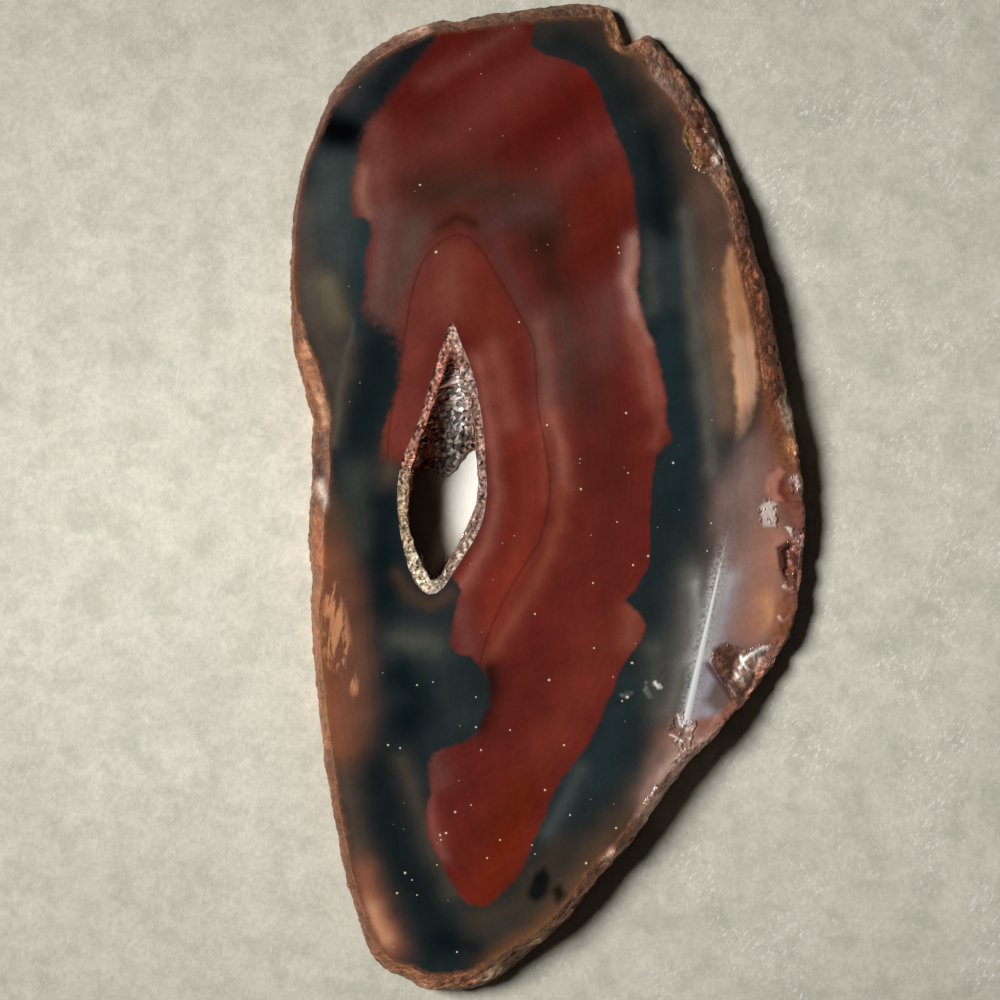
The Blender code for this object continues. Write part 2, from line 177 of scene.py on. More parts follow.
# Where the face is worked finer: x, y and radius.
FINE_PLACES = [(745, 680, 55), (690, 735, 48), (798, 560, 40), (704, 150, 36), (785, 505, 36),
               (335, 640, 30), (340, 600, 24), (345, 670, 26), (715, 610, 40), (660, 775, 36)]


def placed(x, y):
    """A place in plan, in metres."""
    return (x - MIDDLE[0]) * UNIT, (MIDDLE[1] - y) * UNIT


def closed_curve(points, count):
    """Evenly spaced samples of a smooth closed curve through the points; columns past x, y follow."""
    points = np.asarray(points, float)
    t = np.linspace(0, 1, CURVE_STEPS, endpoint=False)[:, None]
    fine = []
    for i in range(len(points)):
        before, here, there, after = (points[(i + k) % len(points)] for k in (-1, 0, 1, 2))
        bend = 2 * before - 5 * here + 4 * there - after
        twist = 3 * here - before - 3 * there + after
        fine.append(here + 0.5 * ((there - before) * t + bend * t**2 + twist * t**3))
    fine = np.concatenate(fine)
    closed = np.vstack([fine, fine[:1]])
    along = np.concatenate([[0], np.cumsum(np.linalg.norm(np.diff(closed[:, :2], axis=0), axis=1))])
    wanted = np.linspace(0, along[-1], count, endpoint=False)
    return np.stack([np.interp(wanted, along, column) for column in closed.T], axis=1)


def inward(loop, smoothing=1):
    """Unit directions in plan, square to a clockwise loop and towards its inside."""
    along = sum(np.roll(loop[:, :2], -k, axis=0) - np.roll(loop[:, :2], k, axis=0)
                for k in range(1, smoothing + 1))
    along /= np.linalg.norm(along, axis=1)[:, None]
    return np.stack([along[:, 1], -along[:, 0]], axis=1)


def inset(loop, distance):
    """The loop moved inwards by the distance, with pointed corners kept."""
    ahead = np.roll(loop, -1, axis=0) - loop
    ahead /= np.linalg.norm(ahead, axis=1)[:, None]
    normal = np.stack([ahead[:, 1], -ahead[:, 0]], axis=1)
    both = normal + np.roll(normal, 1, axis=0)
    return loop + both * (distance * 2 / (both**2).sum(axis=1))[:, None]


def at_height(loop, z):
    """The loop in plan lifted to a height, or to one height for each point."""
    return np.column_stack([loop[:, :2], np.broadcast_to(z, len(loop))])


def inside(loop, places):
    """Which of the places in plan the loop goes round."""
    found = np.zeros(len(places), bool)
    x, y = places[:, 0], places[:, 1]
    for (ax, ay), (bx, by) in zip(loop[:, :2], np.roll(loop[:, :2], -1, axis=0)):
        if ay != by:
            found ^= ((ay > y) != (by > y)) & (x < ax + (y - ay) * (bx - ax) / (by - ay))
    return found


def from_line(places, line):
    """How far the places are from a drawn line, and where along its stretches they are nearest."""
    line = np.asarray(line, float)
    nearest = np.linalg.norm(places - line[0], axis=1)
    where = np.zeros(len(places))
    for number, (start, end) in enumerate(zip(line[:-1], line[1:])):
        way = end - start
        share = np.clip((places - start) @ way / (way @ way), 0, 1)
        away = np.linalg.norm(places - start - share[:, None] * way, axis=1)
        where = np.where(away < nearest, number + share, where)
        nearest = np.minimum(nearest, away)
    return nearest, where


def within(places, edge):
    """How far the places are inside a closed drawn edge, below nothing when they are outside."""
    edge = np.asarray(edge, float)
    away, where = from_line(places, np.vstack([edge[:, :2], edge[:1, :2]]))
    if edge.shape[1] == 3:
        softness = np.append(edge[:, 2], edge[0, 2])
        away /= np.interp(where, np.arange(len(softness)), softness)
    return np.where(inside(edge, places), away, -away)


def bulging(loop):
    """How much the skin bulges at each point of the loop: from 0, where it slopes, to 1."""
    share = np.ones(len(loop))
    for x, y, reach in SLOPING_PLACES:
        away = np.linalg.norm(loop[:, :2] - placed(x, y), axis=1) / (reach * UNIT)
        share *= np.clip(away, 0, 1) ** 2
    return share


def ground_depth(plan, *facets):
    """How far the facets lie below the polished face at places in plan."""
    depth = np.zeros(len(plan))
    for start, end, slope, rounding in facets:
        start, end = np.array(placed(*start)), np.array(placed(*end))
        along = (end - start) / np.linalg.norm(end - start)
        beyond = (plan - start) @ np.array([along[1], -along[0]])
        rounded = 0.5 * (beyond + np.sqrt(beyond**2 + rounding**2))
        depth = np.maximum(depth, math.tan(math.radians(slope)) * rounded)
    return depth


def facing_light(normals):
    """How brightly surfaces are lit by the lamp, where level stone is lit by 1."""
    return normals @ np.array(LIGHT_FROM) / LIGHT_FROM.z


def brightness(plan):
    """How brightly the ground face is lit at places in plan."""
    slopes = []
    for step in ([UNIT, 0], [0, UNIT]):
        ahead, behind = (ground_depth(plan + way, CUT_FACET, WORN_FACET)
                         for way in (np.array(step), -np.array(step)))
        slopes.append((ahead - behind) / (2 * UNIT))
    normals = np.column_stack([*slopes, np.ones(len(plan))])
    return facing_light(normals / np.linalg.norm(normals, axis=1)[:, None])


def skin_rings():
    """Rings down the slab's outer side, with how deep their relief is and how brightly they are lit."""
    traced = [(*placed(x, y), width * UNIT) for x, y, width in OUTLINE]
    outline = closed_curve(traced, STATIONS)
    inwards = inward(outline, smoothing=SKIN_SMOOTHING)
    width = outline[:, 2:3]
    face = outline[:, :2] + inwards * width
    top = THICKNESS - ground_depth(face, WORN_FACET)
    rings = [at_height(face, top)]
    reliefs = [np.zeros(STATIONS)]
    lights = [brightness(face)]
    bulge = bulging(outline)
    fall = top - EDGE_HEIGHT
    for down in np.linspace(0, 1, SKIN_RINGS + 1)[1:] ** RING_CROWDING:
        out, steeper = (np.interp(place, SKIN_DOWN, SKIN_SLOPE) * (1 - bulge)
                        + np.interp(place, SKIN_DOWN, SKIN_BULGE) * bulge
                        for place in (down, down - SLOPE_STEP))
        run = (out - steeper) * outline[:, 2]
        slant = np.hypot(run, fall * SLOPE_STEP)
        outwards, upwards = fall * SLOPE_STEP / slant, run / slant
        ring = at_height(face - inwards * width * out[:, None], top - fall * down)
        strength = min(down / RELIEF_START, 1) * min((1 - down) / RELIEF_END, 1)
        relief = np.zeros(STATIONS)
        for i, point in enumerate(ring):
            place = Vector(point)
            lump = 0.5 + 0.5 * noise.noise(place / LUMP_SIZE)
            ledge = noise.noise(Vector((place.x, place.y, place.z * LEDGE_FLATNESS)) / LEDGE_SIZE)
            pit = max(noise.noise(place / PIT_SIZE + PIT_PLACE), 0)
            grit = noise.fractal(place / GRIT_SIZE, *GRIT_LAYERS) * GRIT_DEPTH
            grit *= min(down / GRIT_START, 1)
            deep = (LUMP_DEPTH * (lump - 0.5) + PIT_DEPTH * pit) * strength - grit
            point[:2] += inwards[i] * deep * outwards[i]
            point[2] += LEDGE_LIFT * ledge * strength - deep * upwards[i]
            relief[i] = 0.5 * grit / GRIT_DEPTH - pit - 0.4 * (lump - 0.5)
        ring[:, 2] = np.clip(ring[:, 2], EDGE_HEIGHT * LOWEST_SKIN, top - CUT_MARGIN)
        rings.append(ring)
        reliefs.append(relief)
        lit = np.clip(1 - (down - LIT_DEPTH) / LIT_FADE, 0, 1)
        slope = facing_light(np.column_stack([-inwards * outwards[:, None], upwards]))
        lights.append(1 + (slope - 1) * lit)
    rings.append(at_height(outline[:, :2] + inwards * FOOT_INSET * FOOT_SLANT, FOOT_HEIGHT))
    rings.append(at_height(outline[:, :2] + inwards * FOOT_INSET, 0))
    reliefs += [np.zeros(STATIONS)] * 2
    lights += [lights[-1]] * 2
    return rings, np.concatenate(reliefs), np.concatenate(lights)


def broken_depth(plan):
    """How far the breaks lie below the ground face at places in plan."""
    places = plan * [1, -1] / UNIT + MIDDLE
    depth = np.zeros(len(places))
    for deep, run, ripple, size, outline in BREAKS:
        share = np.clip(within(places, outline) / run, 0, 1)
        share *= share * (3 - 2 * share)
        for i in np.flatnonzero(share):
            shell = noise.noise(Vector((*places[i] / size, 0)), noise_basis="VORONOI_F1")
            depth[i] = max(depth[i], share[i] * (deep + ripple * (shell - 0.5)))
    return depth * UNIT


def worked(points):
    """The points lowered to the cut facet and the breaks, and how each of the two lowered them."""
    plan = points[:, :2]
    face = np.minimum(points[:, 2], THICKNESS - ground_depth(plan, CUT_FACET))
    depth = broken_depth(plan)
    floor = THICKNESS - ground_depth(plan, CUT_FACET, WORN_FACET) - depth
    floor = np.where(depth > 0, np.maximum(np.minimum(face, floor), EDGE_HEIGHT), face)
    floor = np.minimum(face, floor)
    return np.column_stack([plan, floor]), points[:, 2] - face > CUT_LEAST, face - floor > BROKEN_LEAST


def strewn(low, high, spacing, generator):
    """Places on a slightly shaken triangular grid that fills a box in plan."""
    rows = np.arange(low[1], high[1], spacing * math.sqrt(0.75))
    columns = np.arange(low[0], high[0], spacing)
    x, y = np.meshgrid(columns, rows)
    x[1::2] += spacing / 2
    places = np.column_stack([x.ravel(), y.ravel()])
    return places + generator.uniform(-PLACES_SHAKE, PLACES_SHAKE, places.shape) * spacing


def clear_of(loops, places, distance):
    """Which places are at least the distance away from all points of the loops."""
    points = np.concatenate([loop[:, :2] for loop in loops])
    tree = kdtree.KDTree(len(points))
    for i, (x, y) in enumerate(points):
        tree.insert((x, y, 0), i)
    tree.balance()
    return np.array([tree.find((x, y, 0))[2] >= distance for x, y in places])


def triangles_between(outer, inner, places):
    """Triangles over the outer loop, the inner loop and the places between them, in that order."""
    corners = np.vstack([outer[:, :2], inner[:, :2], places])
    rims = [(i, (i + 1) % len(outer)) for i in range(len(outer))]
    rims += [(len(outer) + i, len(outer) + (i + 1) % len(inner)) for i in range(len(inner))]
    made = geometry.delaunay_2d_cdt([Vector(corner) for corner in corners], rims, [], 0, TOUCHING)
    faces = np.array(made[2])
    middles = corners[faces].mean(axis=1)
    return faces[inside(outer, middles) & ~inside(inner, middles)]


def hollow_loops():
    """The three loops round the hollow in metres: agate's rim, crystals' lip and their mouth."""
    places = np.array([[placed(*place) for place in station] for station in HOLLOW])
    together = closed_curve(places.reshape(len(HOLLOW), 6), HOLLOW_STATIONS)
    return together[:, 0:2], together[:, 2:4], together[:, 4:6]


def wall_foot(mouth):
    """The hollow's loop in the agate at the foot, a little wider than the mouth of the crystals."""
    outwards = mouth - placed(*HOLLOW_MIDDLE)
    return mouth + outwards / np.linalg.norm(outwards, axis=1)[:, None] * WALL_MARGIN


def finer(loop, steps):
    """The loop with each of its straight stretches cut into equal steps."""
    on = np.roll(loop, -1, axis=0)
    return np.stack([loop + (on - loop) * k / steps for k in range(steps)], axis=1).reshape(-1, 2)


# The slab's surfaces are joined in this order: face, skin, foot and the wall of the hollow. Each
# has its own patch of the map that its finish can be laid out on, in metres on a square sheet.
SHEET = 0.124
FACE_CORNER = np.array([0.027, 0.051])
FOOT_CORNER = np.array([0.081, 0.051])
SKIN_ROW_START = 0.103
SKIN_ROW_HEIGHT = 0.0068
SKIN_ROWS = 3
SKIN_ROW_GAP = 0.0006
MAP_MARGIN = 0.001
# The skin is laid out as long as a circle of this radius is round.
SKIN_MAP_RADIUS = 0.0425
WALL_CORNER = (0.1095, 0.001)
WALL_ROW_HEIGHT = 0.0025
WALL_STEP = 0.00033

# Fine grains that catch the light on the face: x, y and radius.
SPECKS = [
    (436, 252, 3.0), (673, 463, 2.6), (581, 489, 2.6), (648, 556, 2.6), (633, 565, 2.4),
    (476, 697, 2.0), (564, 745, 2.4), (617, 522, 1.6), (707, 551, 1.8), (711, 523, 2.0),
    (626, 413, 2.6), (628, 473, 1.8), (417, 685, 2.0), (433, 682, 1.8), (616, 828, 2.2),
    (570, 815, 2.4), (405, 873, 3.0), (397, 893, 2.4), (412, 880, 1.6), (417, 895, 1.8),
    (457, 952, 2.0), (437, 865, 1.6), (440, 835, 2.4), (500, 840, 2.0), (487, 858, 2.0),
    (545, 790, 2.4), (586, 863, 2.6), (535, 614, 2.2), (593, 583, 2.0), (594, 648, 2.2),
    (613, 677, 1.6), (549, 680, 2.8), (510, 730, 2.0), (519, 322, 2.2), (618, 247, 2.0),
    (619, 253, 1.8), (547, 425, 2.6), (580, 459, 1.6), (420, 185, 2.4), (476, 727, 2.2),
    (481, 750, 2.0), (632, 663, 2.4), (627, 697, 3.6), (622, 701, 2.0), (471, 805, 1.8),
    (455, 812, 2.6), (446, 833, 2.8), (441, 840, 2.0), (532, 845, 1.8), (535, 854, 1.6),
    (400, 748, 2.0), (388, 745, 2.2),
]
SPECK_CORNERS = 6
SPECK_UNEVENNESS = (0.7, 1.1)
SPECK_ROOM = 1.5


def joined_rings(count, upper, lower):
    """Triangles between two rings of points that start at the given numbers, and their stations."""
    here = np.arange(count)
    on = (here + 1) % count
    odd = here % 2 == 1
    first = np.where(odd, lower + on, lower + here)
    second = np.where(odd, upper + here, upper + on)
    faces = np.vstack([
        np.column_stack([upper + here, upper + on, first]),
        np.column_stack([second, lower + on, lower + here]),
    ])
    first_on = np.where(odd, here + 1, here)
    second_on = np.where(odd, here, here + 1)
    stations = np.vstack([
        np.column_stack([here, here + 1, first_on]),
        np.column_stack([second_on, here + 1, here]),
    ])
    levels = np.vstack([
        np.column_stack([here * 0, here * 0, here * 0 + 1]),
        np.column_stack([here * 0, here * 0 + 1, here * 0 + 1]),
    ])
    return faces, stations, levels


def wound(points, faces, up):
    """The faces with their corners turned so that they look up, or down."""
    a, b, c = (points[faces[:, k], :2] for k in range(3))
    turn = (b[:, 0] - a[:, 0]) * (c[:, 1] - a[:, 1]) - (b[:, 1] - a[:, 1]) * (c[:, 0] - a[:, 0])
    wrong = turn < 0 if up else turn > 0
    faces = faces.copy()
    faces[wrong] = faces[wrong][:, ::-1]
    return faces


def spread_places(face, rim, generator):
    """Places over the face: finer where it is broken or veined, and a ring round every speck."""
    low, high = face[:, :2].min(0), face[:, :2].max(0)
    fine_of = [(np.array(placed(x, y)), radius * UNIT) for x, y, radius in FINE_PLACES]
    coarse = strewn(low, high, FACE_SPACING, generator)
    fine = strewn(low, high, FINE_SPACING, generator)

    def is_fine(places):
        return np.any([np.linalg.norm(places - middle, axis=1) < radius
                       for middle, radius in fine_of], axis=0)

    places = np.vstack([coarse[~is_fine(coarse)], fine[is_fine(fine)]])
    places = places[inside(face, places) & ~inside(rim, places)]
    places = places[clear_of([face, rim], places, FACE_ROOM * FACE_SPACING)]
    for x, y, radius in SPECKS:
        places = places[np.linalg.norm(places - placed(x, y), axis=1) > SPECK_ROOM * radius * UNIT]
    middles = np.array([placed(x, y) for x, y, _ in SPECKS])
    around = []
    for (x, y, radius), middle in zip(SPECKS, middles):
        for turn in np.linspace(0, 2 * math.pi, SPECK_CORNERS + 1)[:-1]:
            reach = radius * UNIT * generator.uniform(*SPECK_UNEVENNESS)
            around.append(middle + reach * np.array([math.cos(turn), math.sin(turn)]))
    return places, middles, np.array(around)


def make_slab():
    """The slab's points, its faces with their map and part, and its points' breaks and relief."""
    generator = np.random.default_rng(PLACES_SEED)
    rings, skin_relief, skin_light = skin_rings()
    rim, _, mouth = hollow_loops()
    rim = finer(rim, HOLLOW_STEPS)
    foot_of_wall = finer(wall_foot(mouth), HOLLOW_STEPS)
    count = len(rim)
    face, foot = rings[0], rings[-1]

    places, middles, around = spread_places(face, rim, generator)
    on_face = np.vstack([middles, around, places])
    face_triangles = triangles_between(face, rim, on_face)
    low, high = foot[:, :2].min(0), foot[:, :2].max(0)
    under = strewn(low, high, FOOT_SPACING, generator)
    under = under[inside(foot, under) & ~inside(foot_of_wall, under)]
    under = under[clear_of([foot, foot_of_wall], under, FOOT_ROOM * FOOT_SPACING)]
    foot_triangles = triangles_between(foot, foot_of_wall, under)

    # Points: skin rings, wall rings, then the places on the face and on the foot.
    walls = [at_height(rim + (foot_of_wall - rim) * share, THICKNESS * (1 - share))
             for share in WALL_SHARES]
    face_heights = THICKNESS - ground_depth(on_face, WORN_FACET)
    points = np.vstack(rings + walls + [at_height(on_face, face_heights), at_height(under, 0)])
    wall_start = STATIONS * len(rings)
    face_start = wall_start + count * len(walls)
    foot_start = face_start + len(on_face)

    last_ring, last_wall = STATIONS * (len(rings) - 1), wall_start + count * (len(walls) - 1)
    numbers = np.concatenate([np.arange(STATIONS), wall_start + np.arange(count),
                              face_start + np.arange(len(on_face))])
    faces = [wound(points, numbers[face_triangles], up=True)]
    sheet = [points[faces[0], :2] + FACE_CORNER]
    parts = [np.zeros(len(faces[0]), int)]
    row = math.ceil(STATIONS / SKIN_ROWS)
    length = 2 * math.pi * SKIN_MAP_RADIUS / STATIONS
    for ring in range(len(rings) - 1):
        made, stations, levels = joined_rings(STATIONS, ring * STATIONS, (ring + 1) * STATIONS)
        rows = stations.min(axis=1, keepdims=True) // row
        down = (ring + levels) / (len(rings) - 1) * (SKIN_ROW_HEIGHT - SKIN_ROW_GAP)
        sheet.append(np.stack([MAP_MARGIN + (stations - rows * row) * length,
                               SKIN_ROW_START + rows * SKIN_ROW_HEIGHT + down], axis=2))
        faces.append(made)
        parts.append(np.full(len(made), 1))
    numbers = np.concatenate([last_ring + np.arange(STATIONS),
                              last_wall + np.arange(count),
                              foot_start + np.arange(len(under))])
    faces.append(wound(points, numbers[foot_triangles], up=False))
    sheet.append(points[faces[-1], :2] * [-1, 1] + FOOT_CORNER)
    parts.append(np.full(len(faces[-1]), 2))
    for level in range(len(walls) - 1):
        start = wall_start + level * count
        made, stations, levels = joined_rings(count, start, start + count)
        sheet.append(np.stack([WALL_CORNER[0] + (level + levels) * WALL_ROW_HEIGHT,
                               WALL_CORNER[1] + stations * WALL_STEP], axis=2))
        faces.append(made[:, ::-1])
        sheet[-1] = sheet[-1][:, ::-1]
        parts.append(np.full(len(made), 3))

    skin_end = STATIONS * (SKIN_RINGS + 1)
    outside = np.concatenate([np.arange(skin_end), np.arange(face_start, foot_start)])
    cut_of, broken_of = np.zeros(len(points), bool), np.zeros(len(points), bool)
    points[outside], cut_of[outside], broken_of[outside] = worked(points[outside])
    light_of = brightness(points[:, :2])
    whole = ~(cut_of | broken_of)[:wall_start]
    light_of[:wall_start][whole] = skin_light[whole]
    relief_of = np.zeros(len(points))
    relief_of[:wall_start] = skin_relief
    speck_of = np.zeros(len(points))
    speck_of[face_start:face_start + len(middles)] = 1
    return (points, np.vstack(faces), np.vstack(sheet), np.concatenate(parts),
            cut_of, broken_of, relief_of, speck_of, light_of)


def new_mesh(name, points, faces):
    mesh = bpy.data.meshes.new(name)
    mesh.from_pydata(points.tolist(), [], faces.tolist())
    return mesh


# What the stone is coloured by. Colours are written as they look in the light on the paper, and
# laid on in soft strokes: colour, strength, half width, softness and the line they follow.

# The edge of the red stone, clockwise: x, y and how soft it is.
RED_EDGE = [
    (440, 15, 4), (480, 5, 4), (530, 0, 4), (535, 20, 4), (530, 45, 3), (545, 55, 3), (560, 58, 3),
    (585, 68, 3), (600, 90, 3), (608, 115, 4), (615, 130, 4), (627, 160, 5), (632, 180, 7),
    (636, 215, 6), (640, 250, 4), (637, 290, 4), (645, 325, 4), (655, 345, 4), (661, 375, 4),
    (667, 400, 4), (666, 420, 4), (672, 440, 6), (655, 455, 4), (651, 490, 2), (650, 520, 2),
    (650, 555, 2), (648, 568, 2), (640, 580, 2), (635, 590, 3), (625, 600, 4), (640, 615, 3),
    (646, 625, 3), (642, 640, 3), (630, 655, 3), (620, 670, 3), (613, 690, 3), (606, 705, 3),
    (598, 725, 3), (590, 740, 3), (580, 755, 3), (572, 765, 3), (560, 780, 3), (550, 800, 3),
    (545, 815, 3), (538, 830, 4), (530, 850, 4), (525, 865, 4), (515, 880, 4), (505, 890, 4),
    (495, 900, 4), (485, 907, 4), (470, 905, 4), (460, 895, 4), (450, 880, 4), (442, 865, 4),
    (434, 850, 4), (428, 835, 4), (425, 815, 4), (430, 800, 4), (432, 790, 4), (428, 775, 4),
    (428, 765, 4), (435, 752, 4), (450, 747, 4), (470, 740, 4), (478, 730, 5), (488, 705, 8),
    (490, 680, 8), (482, 668, 4), (470, 656, 4), (458, 654, 4), (450, 645, 4), (452, 625, 4),
    (457, 605, 4), (462, 590, 3), (440, 560, 3), (420, 480, 3), (398, 462, 10), (385, 458, 12),
    (382, 445, 5), (384, 430, 5), (390, 410, 5), (399, 385, 6), (403, 345, 14), (388, 328, 22),
    (373, 319, 22),
    (364, 308, 14), (365, 290, 6), (365, 260, 5), (370, 240, 5), (372, 222, 4), (362, 218, 5),
    (354, 215, 6), (352, 190, 8), (355, 170, 8), (361, 145, 8), (369, 122, 10), (383, 106, 10),
    (396, 88, 8), (416, 64, 8), (434, 42, 6),
]
# The outer edge of the arched bands round the hollow, closed below through the dark stone.
ARCH = [
    (388, 445), (390, 420), (395, 395), (400, 365), (404, 340), (408, 315), (413, 288), (422, 262),
    (434, 247), (447, 238), (458, 234), (470, 238), (482, 250), (495, 272), (507, 292), (518, 312),
    (528, 330), (534, 345), (536, 370), (537, 400), (541, 425), (546, 450), (550, 475), (550, 495),
    (547, 515), (540, 540), (528, 560), (515, 580), (503, 602), (492, 625), (484, 648), (480, 665),
    (425, 655), (388, 560),
]
# The long peach-coloured patch beside the skin on the right.
PEACH_EDGE = [
    (722, 262), (726, 246), (733, 240), (740, 252), (745, 275), (749, 300), (754, 325), (757, 350),
    (759, 375), (759, 400), (752, 420), (744, 438), (735, 446), (735, 420), (735, 400), (733, 370),
    (730, 340), (726, 310), (721, 285),
]

RED_GROUND = "61211b"
RED_STROKES = [
    ("54170f", 1, 30, 22, [(395, 95), (430, 55), (470, 35), (530, 25)]),
    ("663029", 0.9, 8, 10, [(425, 82), (470, 58), (512, 30)]),
    ("541610", 0.9, 7, 9, [(402, 122), (440, 98), (480, 72), (520, 52)]),
    ("672c25", 1, 17, 14, [(405, 165), (450, 135), (500, 95), (545, 62)]),
    ("5a160f", 1, 20, 16, [(490, 185), (530, 145), (565, 110), (602, 80)]),
    ("6b3029", 0.9, 13, 12, [(535, 205), (575, 170), (612, 140)]),
    ("6a2418", 0.8, 10, 12, [(570, 225), (600, 190), (628, 185)]),
    ("733e34", 1, 13, 12, [(372, 125), (380, 165), (386, 205)]),
    ("8c5e4f", 1, 7, 7, [(364, 170), (361, 190), (368, 213)]),
    ("44281f", 1, 26, 24, [(425, 192), (475, 188), (520, 200), (545, 225)]),
    ("553532", 0.9, 12, 14, [(488, 226), (520, 212), (540, 205)]),
    ("3a1b14", 1, 18, 14, [(545, 245), (560, 285)]),
    ("34180f", 0.9, 5, 6, [(436, 228), (456, 217), (474, 224)]),
    ("6a4742", 1, 12, 10, [(386, 222), (382, 260), (376, 310)]),
    ("58413a", 1, 15, 12, [(414, 230), (404, 285), (395, 335)]),
    ("57302a", 0.9, 9, 10, [(495, 250), (515, 290), (530, 318)]),
    ("44312a", 1, 12, 12, [(398, 345), (388, 352)]),
    ("5b1c13", 1, 22, 14, [(592, 200), (604, 235), (590, 275)]),
    ("52342f", 1, 18, 16, [(560, 320), (572, 345), (566, 385)]),
    ("623732", 0.9, 16, 16, [(606, 300), (602, 350)]),
    ("a07366", 1, 6, 6, [(633, 240), (628, 280), (635, 315), (646, 342)]),
    ("8a4c3f", 1, 9, 9, [(634, 330), (646, 360), (654, 395)]),
    ("7c4034", 0.8, 6, 7, [(655, 400), (660, 425), (654, 445)]),
    ("4b231d", 1, 16, 14, [(588, 385), (592, 425)]),
    ("5c221b", 1, 26, 18, [(604, 450), (606, 500), (592, 560)]),
    ("70332a", 1, 20, 10, [(445, 262), (425, 300), (412, 345), (405, 400), (398, 440)]),
    ("6a281c", 1, 20, 10, [(466, 268), (485, 300), (500, 335)]),
    ("7a4034", 0.9, 13, 12, [(450, 262), (450, 308)]),
    ("7a3e33", 1, 10, 8, [(494, 350), (503, 395), (510, 425)]),
    ("782d20", 1, 13, 8, [(526, 440), (531, 500), (525, 540), (508, 585), (490, 622)]),
    ("6f261b", 1, 6, 6, [(510, 440), (511, 500), (505, 545), (490, 590)]),
    ("86493e", 1, 6, 6, [(478, 360), (487, 410), (493, 450), (496, 500), (488, 542), (470, 575),
                         (461, 590)]),
    ("76493f", 1, 8, 8, [(540, 325), (546, 370), (547, 405)]),
    ("82392c", 0.9, 5, 6, [(540, 425), (544, 460), (543, 500)]),
    ("8a4e40", 1, 7, 7, [(552, 415), (561, 450), (564, 485)]),
    ("7d3b2b", 1, 7, 8, [(562, 490), (556, 530), (542, 568), (525, 600), (500, 640), (485, 665)]),
    ("6e2a20", 1, 25, 18, [(604, 650), (575, 700), (545, 750)]),
    ("5a1f18", 0.8, 14, 14, [(540, 660), (520, 705), (500, 745)]),
    ("69210e", 1, 20, 20, [(522, 795), (507, 845), (488, 890)]),
    ("7c443a", 1, 6, 8, [(428, 790), (433, 825), (443, 855)]),
    ("824435", 1, 11, 10, [(633, 612), (630, 642)]),
    ("6c3a33", 0.9, 9, 9, [(460, 612), (468, 650)]),
    ("5d372f", 0.9, 10, 9, [(434, 752), (440, 778)]),
    ("2a120e", 0.95, 9, 12, [(490, 670), (493, 692), (480, 726)]),
]

